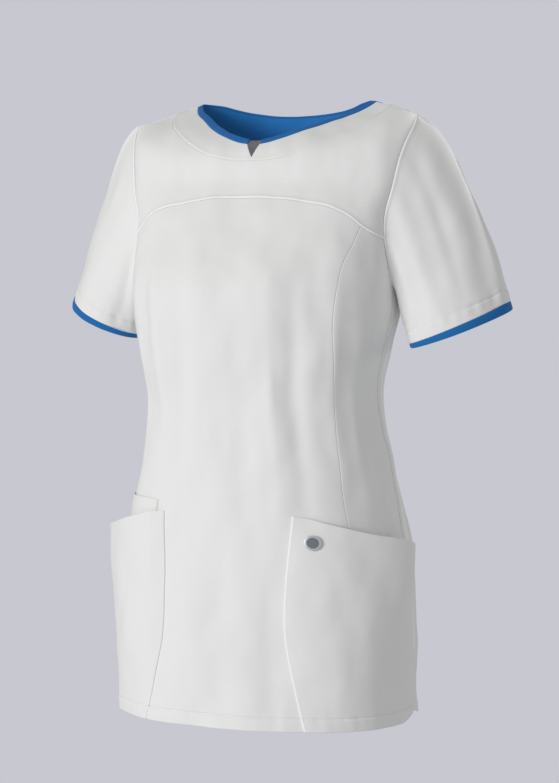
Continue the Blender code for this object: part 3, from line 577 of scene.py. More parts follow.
def neckLine(ridgeX, table, behind=False, count=120):
    start = ridgePlaces(ridgeX, ridgeX, 1)[0]
    if behind:
        start = np.array([180 - start[0], 0.0])
    line = lineThrough([start, *(placeAt(z, x=x, behind=behind) for x, z in table)])
    return line(np.linspace(0, 1, count + 1))


def slitLine(top, table, corner, behind=False):
    corner = placeAt(corner[1], fromSide=corner[0], behind=behind)
    middle = [placeAt(z, fromSide=y, behind=behind) for y, z in table]
    return lineThrough([top, *middle, corner])(np.linspace(0, 1, 61)), corner


def hemLine(startAngle, corner, count=160):
    # level round the body, then rounded up to the slit's corner
    toward = math.copysign(90 / body["quarterArc"], corner[0] - startAngle)
    rise = body["hemRow"] - corner[1]
    flat = np.linspace(startAngle, corner[0] - toward * seams["cornerRun"], 6)
    places = [(angle, float(body["hemRow"])) for angle in flat]
    run, share = seams["cornerEase"]
    places.append((corner[0] - toward * seams["cornerRun"] * run, body["hemRow"] - rise * share))
    return lineThrough([*places, corner])(np.linspace(0, 1, count + 1))


tip, underarm = (90.0, 0.0), (90.0, float(body["underarmRow"]))
trimX, bandX = seams["neckX"] + seams["trimWidth"], seams["neckX"] + seams["bandWidth"]
frontArmhole = lineThrough([tip, *(armholePlace(z, y) for y, z in seams["frontArmhole"]), underarm])
backArmhole = lineThrough([tip, *(armholePlace(z, y, behind=True)
                                  for y, z in seams["backArmhole"]), underarm])
yokeEnd = readingWhere(frontArmhole, 2, seams["yokeEnd"])
yokeArmhole = frontArmhole(np.linspace(0, yokeEnd, 81))
sideArmhole = frontArmhole(np.linspace(yokeEnd, 1, 41))
backArmholeLine = backArmhole(np.linspace(0, 1, 121))
archCurve = lineThrough([*(placeAt(z, x=x) for x, z in seams["arch"]), tuple(yokeArmhole[-1])])
princessTop = readingWhere(archCurve, 0, seams["princessTopX"])
centreArch = archCurve(np.linspace(0, princessTop, 121))
sideArch = archCurve(np.linspace(princessTop, 1, 31))
slitTop = (90.0, placeAt(seams["slitTop"], fromSide=0)[1])
sideSeam = np.stack([np.full(121, 90.0), np.linspace(underarm[1], slitTop[1], 121)], axis=1)
frontSlit, frontCorner = slitLine(slitTop, seams["frontSlit"], seams["frontCorner"])
backSlit, backCorner = slitLine(slitTop, seams["backSlit"], seams["backCorner"], True)
princess = lineThrough([tuple(centreArch[-1]),
                        *(placeAt(z, x=x) for x, z in seams["princess"])])(np.linspace(0, 1, 201))
ridgeYoke = ridgePlaces(bandX, sections[0, 4])
ridgeBand = ridgePlaces(trimX, bandX)
bandSeam = neckLine(bandX, seams["band"])[::-1]
frontTrim = neckLine(trimX, seams["frontTrim"])[::-1]
frontNeck = neckLine(seams["neckX"], seams["frontNeck"])[::-1]
backTrim = neckLine(trimX, seams["backTrim"], behind=True)
backNeck = neckLine(seams["neckX"], seams["backNeck"], behind=True)
armholeRing = joined(yokeArmhole, sideArmhole, backArmholeLine[::-1])
calmLines = [bodyPoints(armholeRing), bodyPoints(mirrored(armholeRing))]
print("seam lines laid")


# the panels of the body
panels = {
    "cell": 3.4, "backCell": 3.9,
    "hem": {"depth": 15, "proud": 0.5, "groove": 1.45, "pucker": 0.33},
    "raised": {"height": 1.0, "middle": 2.025, "spread": 1.89, "paintedHighlight": (0.25, 2.0)},
    # over the last range of a raised seam edge, and of the felled strip below, the cloth is painted
    # paler as a highlight
    "felled": {"height": 0.9, "width": 13, "stepIn": 1.2, "stepOut": 0.4, "groove": 1.3,
               "grooveOut": 1.2, "grooveWidth": 1.1, "paintedHighlight": (1.6, 12), "fadesAt": (622, 640),
               "fine": (11, 15)},
    "secondLayer": 0.9, "softRoll": 0.4, "ridge": 0.6,
    "slitHemFadesIn": (30, 75), "underlapStarts": (634, 645), "underlapSinks": (-3, 5),
    # the part of each hem that its stitches run along
    "stitched": {"left": (0.0, 0.86), "right": (0.14, 1.0), "back": (0.07, 0.93),
                 "pocket": (0.02, 0.9)},
}
# the form of any hem: its step and groove in mm; its puckers' middle and spread as shares of
# its depth, and their wavelengths over 2 pi in mm
hemForm = {
    "step": 0.9, "grooveWidth": 1.2, "middle": 0.8, "spread": 0.55,
    "short": 3.1, "long": 11.7, "longPhase": 1.3,
    "middling": 5.3, "middlingPhase": 2.1, "middlingShare": 0.6,
}


def bell(distance, middle, spread):
    return np.exp(-((distance - middle) / spread)**2)


def foldedOver(distance, depth):
    # 1 where a hem doubles the cloth and 0 past its depth
    return 1 - ramp(distance, depth - 1, depth + 1)


def hemRelief(distance, runs, hem, phase):
    # the turned-up cloth stands proud below its stitches, which pull it in and pucker it
    depth, form = hem["depth"], hemForm
    proud = hem["proud"] * (1 - ramp(distance, depth - form["step"], depth + form["step"]))
    ripple = np.sin(runs / form["short"] + phase)
    ripple = ripple * np.sin(runs / form["long"] + form["longPhase"] * phase)
    ripple = ripple + form["middlingShare"] * np.sin(runs / form["middling"]
                                                     + form["middlingPhase"])
    puckered = bell(distance, depth * form["middle"], depth * form["spread"])
    return (proud - hem["groove"] * bell(distance, depth, form["grooveWidth"])
            + hem["pucker"] * ripple * puckered)


def lapped(distance, scale=1.0):
    # the folded edge that catches the light beside a seam
    raised = panels["raised"]
    return scale * raised["height"] * bell(distance, raised["middle"], raised["spread"])


def between(distance, low, high):
    return (distance > low) & (distance < high)


def makePanel(name, places, edges, finish="whiteTwill", inward=0.0,
              wall=shell["wall"], extra=None, stitches=()):
    points = bodyPoints(places)
    normals = bodyNormals(places)
    far = edgeDistances(points)
    lift = crumple(points) - inward
    walls = np.full(points.shape[:2], wall)
    paintedHighlight = np.zeros(points.shape[:2], bool)
    for edge, kind in edges.items():
        distance = far[edge]
        runs = far["left"] if edge in ("top", "bottom") else far["top"]
        if kind in ("seam", "ridged", "lapped", "felled"):
            lift = lift + roll(distance)
        if kind == "soft":
            lift = lift + panels["softRoll"] * roll(distance)
        if kind == "ridged":
            lift = lift + lapped(distance, panels["ridge"])
        if kind == "lapped":
            lift = lift + lapped(distance)
            # painted highlight: the raised edge gets the paler cloth
            paintedHighlight |= between(distance, *panels["raised"]["paintedHighlight"])
        if kind == "felled":
            strip = panels["felled"]
            width = strip["width"]
            aboveSlit = 1 - ramp(-points[..., 2] / mm, *strip["fadesAt"])
            # the same columns of the grid all the way down, so that the strip has no steps
            distance = distance[far["left"][:, -1].argmax()][None, :] + 0 * runs
            step = ramp(distance, width - strip["stepIn"], width + strip["stepOut"])
            raised = strip["height"] * (1 - step)
            sunk = strip["groove"] * bell(distance, width + strip["grooveOut"],
                                          strip["grooveWidth"])
            lift = lift + (raised - sunk) * aboveSlit
            # painted highlight: the felled strip gets the paler cloth above the slit
            paintedHighlight |= between(distance, *strip["paintedHighlight"]) & (aboveSlit > 0.5)
        if kind == "hem":
            hem = panels["hem"]
            relief = hemRelief(distance, runs, hem, len(name))
            if "felled" in edges.values():
                # lies flat under the front's slit edge
                nearer = np.minimum(far["left"], far["right"])
                relief = relief * ramp(nearer, *panels["slitHemFadesIn"])
            lift = lift + relief
            layers = foldedOver(distance, hem["depth"])
            walls = np.maximum(walls, shell["wall"] + panels["secondLayer"] * layers)
    for edge, kind in edges.items():
        if kind in ("hem", "open"):
            curve, walls = roundedEdge(walls, far[edge])
            lift = lift + curve
    if extra is not None:
        lift = lift + extra(points, far)
    outer = points + normals * lift[..., None] * mm
    addPiece(name, finish, outer, facingLike(outer, normals), walls,
             paintedHighlight if paintedHighlight.any() else None, stitches)


cell, hemDepth = panels["cell"], panels["hem"]["depth"]
archAll = joined(centreArch, sideArch)
yoke = patchOf(acrossFront(joined(bandSeam, ridgeYoke)), acrossFront(archAll),
               mirrored(yokeArmhole), yokeArmhole, cell, fade=4)
makePanel("front_yoke", yoke, {"top": "seam", "bottom": "lapped", "left": "soft",
                               "right": "soft"})

# the neck band's inner edge turns down into the notch, so its columns are shared out
bandDown = readings(seams["bandWidth"] - seams["trimWidth"], 3.0)[:, None, None]
bandColumns, notchColumns = np.linspace(0, 1, 91), np.linspace(0, 1, 9)
notchX, notchZ = seams["frontTrim"][-1]
pointX, pointZ = seams["notchPoint"]


def innerEdgeOf(side):
    # a straight side of the notch, then the edge under the binding
    straight = [placeAt(pointZ + (notchZ - pointZ) * f, x=pointX + (side * notchX - pointX) * f)
                for f in notchColumns]
    return np.concatenate([straight, along(frontTrim, bandColumns)[1:] * [side, 1]])


innerAll = np.concatenate([innerEdgeOf(-1)[::-1], innerEdgeOf(1)[1:]])
share = seams["notchShare"]
outerShare = np.concatenate([share * notchColumns, share + (1 - share) * bandColumns[1:]])
outerHalf = along(bandSeam, outerShare)
band = innerAll * (1 - bandDown) + acrossFront(outerHalf) * bandDown
makePanel("neck_band", band, {"top": "seam", "bottom": "ridged", "left": "seam",
                              "right": "seam"})
print("yoke and neck band made")

hung = {"top": "seam", "bottom": "hem", "left": "seam", "right": "seam"}
hemAngle = princess[-1, 0]
centreHem = [(angle, float(body["hemRow"])) for angle in np.linspace(-hemAngle, hemAngle, 161)]
centre = patchOf(acrossFront(centreArch), np.array(centreHem), mirrored(princess), princess, cell,
                 fineDown=(-hemDepth,))
makePanel("front_centre", centre, hung, stitches=[("bottom", hemDepth)])

outerEdge = joined(sideArmhole, sideSeam, frontSlit)
sideHem = hemLine(hemAngle, frontCorner)
side = patchOf(sideArch, sideHem, princess, outerEdge, cell, fineDown=(-hemDepth,))
for sideName, places in (("left", side), ("right", mirrored(side)[:, ::-1])):
    makePanel("front_side_" + sideName, places, hung,
              stitches=[("bottom", hemDepth, *panels["stitched"][sideName])])
print("front panels made")

halfTop = joined(behindRidge(ridgeYoke), behindRidge(ridgeBand), backTrim)
# below the slit's top the back runs on a little behind the front's edge
under = [placeAt(z, fromSide=away) for away, z in seams["underlap"]]
underSlit = lineThrough([slitTop, *under])(np.linspace(0, 1, 61))
underHem = [(angle, float(body["hemRow"])) for angle in seams["underHemAngles"]]
underHem += [placeAt(z, fromSide=away, behind=True) for away, z in seams["underHem"]]
underHem = lineThrough([*underHem, under[-1]])(np.linspace(0, 1, 161))
backSide = joined(backArmholeLine, sideSeam, underSlit)
backHem = acrossBack(underHem[::-1])
fine = panels["felled"]["fine"]
backPlaces = patchOf(acrossBack(halfTop), backHem, backSide, otherHalf(backSide),
                     panels["backCell"], fineAcross=(*fine, *(-place for place in fine)),
                     fineDown=(-hemDepth,))


def underFront(points, far):
    # inward, so that the front's slit edge lies over it
    sideLine = np.interp(-points[..., 2] / mm, -sections[:, 0], sections[:, 2])
    ahead = sideLine - points[..., 1] / mm
    below = ramp(-points[..., 2] / mm, *panels["underlapStarts"])
    return -seams["underlapInward"] * ramp(ahead, *panels["underlapSinks"]) * below


makePanel("back", backPlaces, {**hung, "left": "felled", "right": "felled"}, extra=underFront,
          stitches=[("bottom", hemDepth, *panels["stitched"]["back"])])
print("back made")


# facing inside the back of the neck
facing = {
    "inward": 1.7, "wall": 0.8, "rows": 2, "lowest": (70, -30), "upperToTrim": 0.45,
    # steps of the solid's grid: along the yoke, band and neck; down armhole, seam and slit
    "coarse": (4, 3, 8), "coarseDown": (12, 15, 4),
}


def coarseBack():
    # the solid's own grid of the back, whose first rows the facing covers
    yokeSteps, bandSteps, neckSteps = facing["coarse"]
    armholeSteps, seamSteps, slitSteps = facing["coarseDown"]
    top = acrossBack(joined(behindRidge(ridgePlaces(bandX, sections[0, 4], yokeSteps)),
                            behindRidge(ridgePlaces(trimX, bandX, bandSteps)),
                            along(backTrim, np.linspace(0, 1, neckSteps + 1))))
    seam = np.linspace(underarm[1], slitTop[1], seamSteps + 1)
    edge = joined(backArmhole(np.linspace(0, 1, armholeSteps + 1)),
                  np.stack([np.full(len(seam), 90.0), seam], axis=1),
                  along(backSlit, np.linspace(0, 1, slitSteps + 1)))
    low = acrossBack(along(hemLine(180.0, backCorner)[::-1],
                           np.linspace(0, 1, yokeSteps + bandSteps + neckSteps + 1)))
    return edgePatch(top, low, edge, otherHalf(edge),
                     np.linspace(0, 1, len(top)), np.linspace(0, 1, len(edge)))


covered = coarseBack()[:facing["rows"] + 1, facing["coarse"][0]:-facing["coarse"][0]]
share = facing["upperToTrim"]
upper = acrossBack(joined(behindRidge(ridgeBand), backTrim * share + backNeck * (1 - share)))
lowest = placeAt(facing["lowest"][1], x=facing["lowest"][0], behind=True)[1]
lower = lineThrough(covered[-1])(np.linspace(0, 1, 121))
lower[:, 1] = np.minimum(lower[:, 1], lowest)
ends = [lineThrough(covered[:, column])(np.linspace(0, 1, 31)) for column in (0, -1)]
for end in ends:
    end[:, 1] *= lowest / end[-1, 1]
facingPlaces = patchOf(upper, lower, *ends, cell)
# the facing's cloth is painted brighter than its dye, painted light inside the shaded neck
makePanel("back_neck_facing", facingPlaces, {"bottom": "open", "left": "open", "right": "open"},
          finish="facingTwillPaintedLight", inward=facing["inward"],
          wall=facing["wall"])
print("facing made")


# neck binding
binding = {
    "from": 0.13, "wall": 2.2, "thinnest": 0.25, "proud": 0.55, "round": 0.9,
    "ripple": (8, 8, 0.12), "squareness": 3.2,
    # smoothing passes, and columns to each side of the shoulder seam
    "bendPasses": 40, "bendReach": 9, "normalReach": 6,
    "across": (0, 0.03, 0.09, 0.18, 0.32, 0.5, 0.68, 0.82, 0.91, 0.97, 1),
}


def bindingProfile(t):
    # a rounded strip: highest along its middle, turned in at both edges
    return np.sqrt(np.clip(1 - np.abs(2 * t - 1)**binding["squareness"], 0, 1))


def allRound(front, back):
    return np.concatenate([front, back[1:], otherHalf(back)[::-1][1:],
                           mirrored(front)[::-1][1:]])


def bindingWalls(most):
    return np.maximum(most * bindingProfile(stripAcross), binding["thinnest"])[:, None]


stripAcross = np.array(binding["across"])
inner, outer = allRound(frontNeck, backNeck), allRound(frontTrim, backTrim)
t = binding["from"] + (1 - binding["from"]) * stripAcross[:, None, None]
trimPoints = bodyPoints(inner) * (1 - t) + bodyPoints(outer) * t
trimPlaces = inner * (1 - t) + outer * t
trimNormals = bodyNormals(trimPlaces)
ridgeColumns = (len(frontNeck) - 1, len(inner) - len(frontNeck))
for column in ridgeColumns:
    # the strip bends round the shoulder seam instead of turning sharply
    reach = binding["bendReach"]
    for _ in range(binding["bendPasses"]):
        bend = trimPoints[:, column - reach:column + reach + 1]
        bend[:, 1:-1] = (bend[:, :-2] + 2 * bend[:, 1:-1] + bend[:, 2:]) / 4
    # the shoulder seam is a ridge, so its normals change evenly from one side's to the other's
    reach = binding["normalReach"]
    before, after = trimNormals[:, column - reach - 1], trimNormals[:, column + reach + 1]
    for number in range(2 * reach + 1):
        share = number / (2 * reach)
        trimNormals[:, column - reach + number] = unit(before * (1 - share) + after * share)
ripple = crumple(trimPoints) + noiseAt(trimPoints, *binding["ripple"])
lift = (binding["proud"] - binding["round"]) + binding["round"] * bindingProfile(
    stripAcross)[:, None] + ripple
addPiece("neck_trim", "azureTwill", trimPoints + trimNormals * lift[..., None] * mm,
         trimNormals, bindingWalls(binding["wall"]))
print("neck binding made")


# sleeves and their bindings
sleeves = {
    "columns": ("endX", "endY", "endHeight", "axisX", "axisY", "axisZ",
                "halfLength", "halfWidth", "turn", "mirror"),
    "left": (232, -19, -254, 0.31, 0.19, -0.93, 63, 48.5, -28, 1),
    "right": (233, -17.5, -249, 0.42, 0.03, -0.93, 61.5, 50, -58, -1),
    "length": 170, "trimReading": 0.911, "frontCapOut": 0.7, "backCapOut": 3.8,
    "capLeansBack": 0.9, "frontCapPush": 92, "backCapPush": 178, "underarmPush": 45,
    "cuffPull": 80, "underarmEase": 0.45, "capPasses": 30, "cell": 3.2,
    "hem": {"depth": 14, "proud": 0.5, "groove": 1.1, "pucker": 0.66},
    # over the last range of the sleeve head's raised edge the cloth is painted paler as a highlight
    "crumpled": 0.8, "headRoll": 0.3, "headRaised": 0.8, "headPaintedHighlight": (0.3, 2.2),
    "trimWall": 2.2, "trimProud": 0.5, "trimRound": 0.9,
}


class Armhole:
    # the ring where a sleeve starts, and the surface from there to the sleeve's end
    def __init__(self, side):
        self.size = dict(zip(sleeves["columns"], sleeves[side]))
        self.axis = unit(np.array([self.size["axis" + name] for name in "XYZ"]))
        front = joined(yokeArmhole, sideArmhole)
        frontCount = int(round(lengthOf(front) / sleeves["cell"]))
        backCount = int(round(lengthOf(backArmholeLine) / sleeves["cell"]))
        front = along(front, np.linspace(0, 1, frontCount + 1))
        back = along(backArmholeLine[::-1], np.linspace(0, 1, backCount + 1))
        self.frontCount = len(front)
        own = np.array([self.size["mirror"], 1, 1])
        places = joined(front, back) * own[:2]
        self.points = bodyPoints(places) * own
        bodyNormal = bodyNormals(places) * own
        bodyNormal[[0, -1]] = unit(bodyNormal[1] + bodyNormal[-2])
        ahead = np.roll(self.points[:-1], -1, axis=0) - np.roll(self.points[:-1], 1, axis=0)
        ahead = np.concatenate([ahead, ahead[:1]])
        middle = self.points.mean(axis=0)
        intoHole = unit(np.cross(ahead, bodyNormal))
        intoHole *= np.sign(np.sum(intoHole * (middle - self.points), axis=1, keepdims=True))
        top, bottom = self.points[0, 2], self.points[self.frontCount - 1, 2]
        self.down = np.clip((top - self.points[:, 2]) / (top - bottom), 0, 1)[:, None]
        ease = self.down**2 * (3 - 2 * self.down)
        depths = self.points[:, 1:2]
        behind = (depths - depths.min()) / (depths.max() - depths.min())
        out = sleeves["frontCapOut"] + (sleeves["backCapOut"] - sleeves["frontCapOut"]) * behind
        push = sleeves["frontCapPush"] + (sleeves["backCapPush"]
                                          - sleeves["frontCapPush"]) * np.minimum(2 * behind, 1)
        lean = sleeves["capLeansBack"] * np.minimum(2 * behind, 1)
        outward = unit(intoHole + out * np.concatenate([np.ones_like(behind), lean,
                                                        np.zeros_like(behind)], axis=1))
        for _ in range(sleeves["capPasses"]):
            # the cloth turns smoothly over the shoulder tip
            around = outward[:-1]
            around = unit(np.roll(around, 1, axis=0) + 2 * around + np.roll(around, -1, axis=0))
            outward = np.concatenate([around, around[:1]])
        self.start = (outward * (1 - ease) * push
                      + self.axis * ease * sleeves["underarmPush"]) * mm

    def end(self, fractions):
        # 0 outside, then the front, 0.5 under the arm, then the back
        outside = np.array([1.0, 0, 0])
        outside = unit(outside - self.axis * outside.dot(self.axis))
        front = np.cross(self.axis, outside)
        front *= -np.sign(front[1])
        turn = 2 * np.pi * np.asarray(fractions)
        fromLong = turn - math.radians(self.size["turn"])
        radius = 1 / np.sqrt((np.cos(fromLong) / self.size["halfLength"])**2
                             + (np.sin(fromLong) / self.size["halfWidth"])**2)
        directions = np.cos(turn)[:, None] * outside + np.sin(turn)[:, None] * front
        middle = np.array([self.size["endX"], self.size["endY"], self.size["endHeight"]])
        return (middle + radius[:, None] * directions) * mm

    def sleeve(self, down):
        self.fractions = []
        for stretch, low in ((self.points[:self.frontCount], 0.0),
                             (self.points[self.frontCount - 1:], 0.5)):
            lengths = np.cumsum(np.linalg.norm(np.diff(stretch, axis=0), axis=1))
            self.fractions.append(low + 0.5 * np.concatenate([[0], lengths]) / lengths[-1])
        self.fractions = joined(*self.fractions)
        a, b, c, d = (weight[:, None, None] for weight in hermite(np.asarray(down)))
        pull = self.axis * sleeves["cuffPull"] * mm * (1 - sleeves["underarmEase"] * self.down)
        return a * self.points + b * self.start + c * self.end(self.fractions) + d * pull


sleeveCreases = {
    # fraction round the sleeve and reading down it, at both ends; depth and width in mm
    "left": ((0.02, 0.0, 0.04, 1.05, 3.4, 15), (0.11, 0.02, 0.15, 0.85, 2.2, 11),
             (0.24, 0.0, 0.27, 0.95, -2.6, 13), (0.37, 0.05, 0.36, 0.9, 2.2, 12),
             (0.7, 0.05, 0.68, 0.9, 2.0, 14)),
    "right": ((0.34, 0.0, 0.37, 1.1, 4.2, 15), (0.21, 0.1, 0.22, 1.0, -1.6, 14),
              (0.08, 0.15, 0.06, 0.95, 1.6, 14), (0.72, 0.05, 0.7, 0.9, 2.0, 14)),
}


def creaseDepth(table, fractions, down, around):
    depth = np.zeros((len(down), len(fractions)))
    for topFraction, top, endFraction, end, deep, wide in table:
        share = (down[:, None] - top) / (end - top)
        middle = topFraction + (endFraction - topFraction) * share
        away = (fractions[None, :] - middle + 0.5) % 1 - 0.5
        depth += deep * np.sin(np.pi * np.clip(share, 0, 1))**0.8 * np.exp(
            -(away * around / wide)**2)
    return depth


for sideName in ("left", "right"):
    armhole = Armhole(sideName)
    flip = [armhole.size["mirror"], 1, 1]
    trimAt = sleeves["trimReading"]
    hem = sleeves["hem"]
    down = readings(sleeves["length"], sleeves["cell"], fine=(-hem["depth"],)) * trimAt
    tube = armhole.sleeve(down)
    normals = gridNormals(tube, closed=True)
    away = np.sum(normals[-1] * (tube[-1] - tube[-1].mean(axis=0)))
    normals *= math.copysign(1, away)
    far = edgeDistances(tube)
    around = far["left"][:, -1].mean()
    lift = crumple(tube, sleeves["crumpled"]) + sleeves["headRoll"] * roll(far["top"])
    lift = lift + lapped(far["top"], sleeves["headRaised"]) + roll(far["bottom"])
    lift = lift + hemRelief(far["bottom"], far["left"], hem, 0.7)
    lift = lift - creaseDepth(sleeveCreases[sideName], armhole.fractions, down, around)
    lift[:, -1] = lift[:, 0]
    outer = tube + normals * lift[..., None] * mm
    walls = shell["wall"] + shell["hemWall"] * foldedOver(far["bottom"], hem["depth"])
    # the sleeve head's raised edge takes the paler cloth, a painted highlight
    addPiece("sleeve_" + sideName, "whiteTwill", outer,
             facingLike(outer, normals, closed=True), walls,
             between(far["top"], *sleeves["headPaintedHighlight"]), [("bottom", hem["depth"])],
             closed=True, flip=flip)

    downTrim = trimAt + (1 - trimAt) * stripAcross
    tube = armhole.sleeve(downTrim)
    normals = gridNormals(armhole.sleeve(np.linspace(trimAt, 1, len(stripAcross))), closed=True)
    normals *= math.copysign(1, away)
    lift = sleeves["trimProud"] - sleeves["trimRound"] * (1 - bindingProfile(stripAcross))[:, None]
    lift = lift + crumple(tube, sleeves["crumpled"]) + noiseAt(tube, *binding["ripple"])
    lift[:, -1] = lift[:, 0]
    addPiece("cuff_trim_" + sideName, "azureTwill",
             tube + normals * lift[..., None] * mm, normals, bindingWalls(sleeves["trimWall"]),
             closed=True, flip=flip)
print("sleeves made")


# pockets; a pair is (x, z)
pockets = {
    "seam": ((78.5, -510), (76.5, -565), (79, -610), (89, -660), (101, -709.5)),
    "topFront": (81.5, -465.5),
    "mouth": ((94, -467), (124, -475.5), (156, -487.5), (171, -497)),
    "sideHeight": -506, "mouthSinks": 0.2, "lowGape": 2.5, "layerGap": 0.7, "wall": 1.5,
    "gapes": {"left": 24, "right": 33}, "frontEdgeSinks": 1.25, "frontEdgeWidth": 7,
    "edgeRaised": 0.8, "hemRelief": 0.9, "mouthHem": 19, "mouthWall": 0.5,
    "width": 190, "length": 215, "cell": 3.2,
    # the lip's share and power, the power towards the outer corner, and that of the side seam
    "gapeForm": (0.35, 6, 1.6, 22), "lowGapeEnds": 1.1,
    # over the phone pocket it stands off more; shares from front edge, side edge and hem
    "overPhone": 3.6, "overPhoneRises": (0.1, 0.05, 0.3),
}
phonePocket = {
    "top": -453, "bottom": -575, "frontX": 93, "backX": 160, "cell": 3.0, "outward": 2.3,
    "sewnDown": 1.3, "sewnWidth": 6,
    # edge and distance of each row of stitches, and the part of the edge that it runs along
    "stitches": (("top", 12), ("top", 14.4), ("left", 1.8, 0.02, 1.0)),
}


def gape(across, down, most):
    # how far the pocket stands off: most at the mouth, towards its outer corner
    s, t = across[None, :], down[:, None]
    lip, lipPower, outward, sewn = pockets["gapeForm"]
    low = np.minimum(t * pockets["lowGapeEnds"], 1)
    return (most * (lip * (1 - t)**lipPower + (1 - lip) * (1 - t)) * s**outward * (1 - s**sewn)
            + pockets["lowGape"] * np.sin(np.pi * s) * np.sin(np.pi * low))


across = readings(pockets["width"], pockets["cell"])
down = readings(pockets["length"], pockets["cell"], fine=(-hemDepth,))
frontTop = placeAt(pockets["topFront"][1], x=pockets["topFront"][0])
sideTop = (90.0, placeAt(pockets["sideHeight"], fromSide=0)[1])
mouth = lineThrough([frontTop, *(placeAt(z, x=x) for x, z in pockets["mouth"]), sideTop])(across)
pocketSeam = lineThrough([frontTop, *(placeAt(z, x=x) for x, z in pockets["seam"])])(down)
sideRows = np.linspace(sideTop[1], slitTop[1], 5)[:-1]
pocketSide = along(joined(lineThrough([*((90.0, row) for row in sideRows), slitTop])(
    np.linspace(0, 1, 60)), frontSlit), down)
pocketHem = along(hemLine(pocketSeam[-1, 0], frontCorner), across)
pocketPlaces = edgePatch(mouth, pocketHem, pocketSeam, pocketSide, across, down)
front, back, low = pockets["overPhoneRises"]
overPhone = (np.clip(across / front, 0, 1) * np.clip((1 - across) / back, 0, 1))[None, :]
overPhone = pockets["overPhone"] * overPhone * np.clip((1 - down) / low, 0, 1)[:, None]
pocketOuter = {}
for sideName, most in pockets["gapes"].items():
    places = pocketPlaces if sideName == "left" else mirrored(pocketPlaces)
    off = gape(across, down, most) + pockets["layerGap"] + pockets["wall"]
    if sideName == "right":
        off = off + overPhone
    points = bodyPoints(places)
    normals = bodyNormals(places)
    outer = points + normals * off[..., None] * mm
    outer[..., 2] -= gape(across, down, most) * pockets["mouthSinks"] * mm
    facingOut = facingLike(outer, normals)
    far = edgeDistances(outer)
    sunk = pockets["frontEdgeSinks"] * (1 - ramp(far["left"], 0, pockets["frontEdgeWidth"]))
    lift = crumple(points) - sunk + roll(far["left"])
    lift = lift + lapped(far["left"], pockets["edgeRaised"])
    lift = lift + pockets["hemRelief"] * hemRelief(far["bottom"], far["left"], panels["hem"], 2.0)
    walls = (shell["wall"] + shell["hemWall"] * foldedOver(far["bottom"], hemDepth)
             + pockets["mouthWall"] * foldedOver(far["top"], pockets["mouthHem"]))
    curve, walls = roundedEdge(walls, far["top"], far["bottom"])
    lift = lift + curve
    outer = outer + facingOut * lift[..., None] * mm
    # the raised front edge takes the paler cloth, a painted highlight
    addPiece("pocket_" + sideName, "whiteTwill", outer, facingOut, walls,
             between(far["left"], *panels["raised"]["paintedHighlight"]),
             [("bottom", hemDepth, *panels["stitched"]["pocket"])])
    pocketOuter[sideName] = (outer, facingOut)
print("hip pockets made")


def phoneEdge(*corners):
    # between two corners of the phone pocket, which is on the wearer's right
    ends = [placeAt(phonePocket[high], x=-phonePocket[side]) for side, high in corners]
    return lineThrough(ends)(np.linspace(0, 1, 41))


def sewnDown(points, far):
    # its sides and bottom are stitched to the panel, so they lie closer to it than its mouth
    nearest = np.minimum(np.minimum(far["left"], far["right"]), far["bottom"])
    return -phonePocket["sewnDown"] * (1 - ramp(nearest, 0, phonePocket["sewnWidth"]))


phonePlaces = patchOf(phoneEdge(("frontX", "top"), ("backX", "top")),
                      phoneEdge(("frontX", "bottom"), ("backX", "bottom")),
                      phoneEdge(("frontX", "top"), ("frontX", "bottom")),
                      phoneEdge(("backX", "top"), ("backX", "bottom")), phonePocket["cell"])
makePanel("phone_pocket", phonePlaces, {"top": "open", "left": "open", "right": "open",
                                        "bottom": "open"}, inward=-phonePocket["outward"],
          extra=sewnDown,
          stitches=phonePocket["stitches"])
print("phone pocket made")


# badge: a plain oval with a metal rim and a grey enamel field
badge = {
    # place on the pocket, from its front edge to its side and from its mouth to its hem
    "place": (0.14, 0.1), "length": 20, "height": 17, "thickness": 1.6, "rim": 2.5,
    "gap": 0.7, "segments": 64,
    # how far in each ring is from the last one, and how far it then rises
    "rings": ((0.875, 0.25), (1.625, 0), (0.17, -0.45), (2.55, 0.2)),
    # brushed stainless steel: fine lines one way, a soft streaked highlight; the lines are
    # about 0.1 mm apart and drawn 0.4 mm apart to show
    "rimColour": "#dfe1e4", "rimRoughness": 0.38, "lines": (200, 200, 2500),
    "lineStrength": 0.25, "lineHeight": 0.1,
    # stoved enamel: smooth, glossy, mid grey
    "fieldColour": "#737a83", "fieldRoughness": 0.2,
}
brushedSteel = newMaterial("brushedSteel", badge["rimColour"], badge["rimRoughness"], Metallic=1)
addRelief(brushedSteel, "Object", {"Scale": badge["lines"]}, "ShaderNodeTexNoise",
          badge["lineStrength"], badge["lineHeight"], Scale=1.0, Detail=2.0)
stovedEnamel = newMaterial("stovedEnamel", badge["fieldColour"], badge["fieldRoughness"],
                           IOR=1.5, Coat_Weight=0.4)

outer, facingOut = pocketOuter["left"]
column = np.searchsorted(across, badge["place"][0])
row = np.searchsorted(down, badge["place"][1])
middle = Vector(outer[row, column])
alongBadge = Vector(outer[row, column + 3] - outer[row, column - 3]).normalized()
normal = Vector(facingOut[row, column])
normal = (normal - alongBadge * alongBadge.dot(normal)).normalized()
up = normal.cross(alongBadge)
turn = Matrix((alongBadge, up, normal)).transposed().to_4x4()
place = Matrix.Translation(middle + normal * badge["gap"] * mm)
halfHeight = badge["height"] / 2
size = Matrix.Diagonal((badge["length"] / 2 * mm, halfHeight * mm, 1, 1))
plate = bmesh.new()
bmesh.ops.create_circle(plate, cap_ends=True, segments=badge["segments"], radius=1)
raised = bmesh.ops.extrude_face_region(plate, geom=plate.faces[:], use_keep_orig=True)
topVerts = [item for item in raised["geom"] if isinstance(item, bmesh.types.BMVert)]
bmesh.ops.translate(plate, verts=topVerts, vec=(0, 0, badge["thickness"] * mm))
topFace = [item for item in raised["geom"] if isinstance(item, bmesh.types.BMFace)]
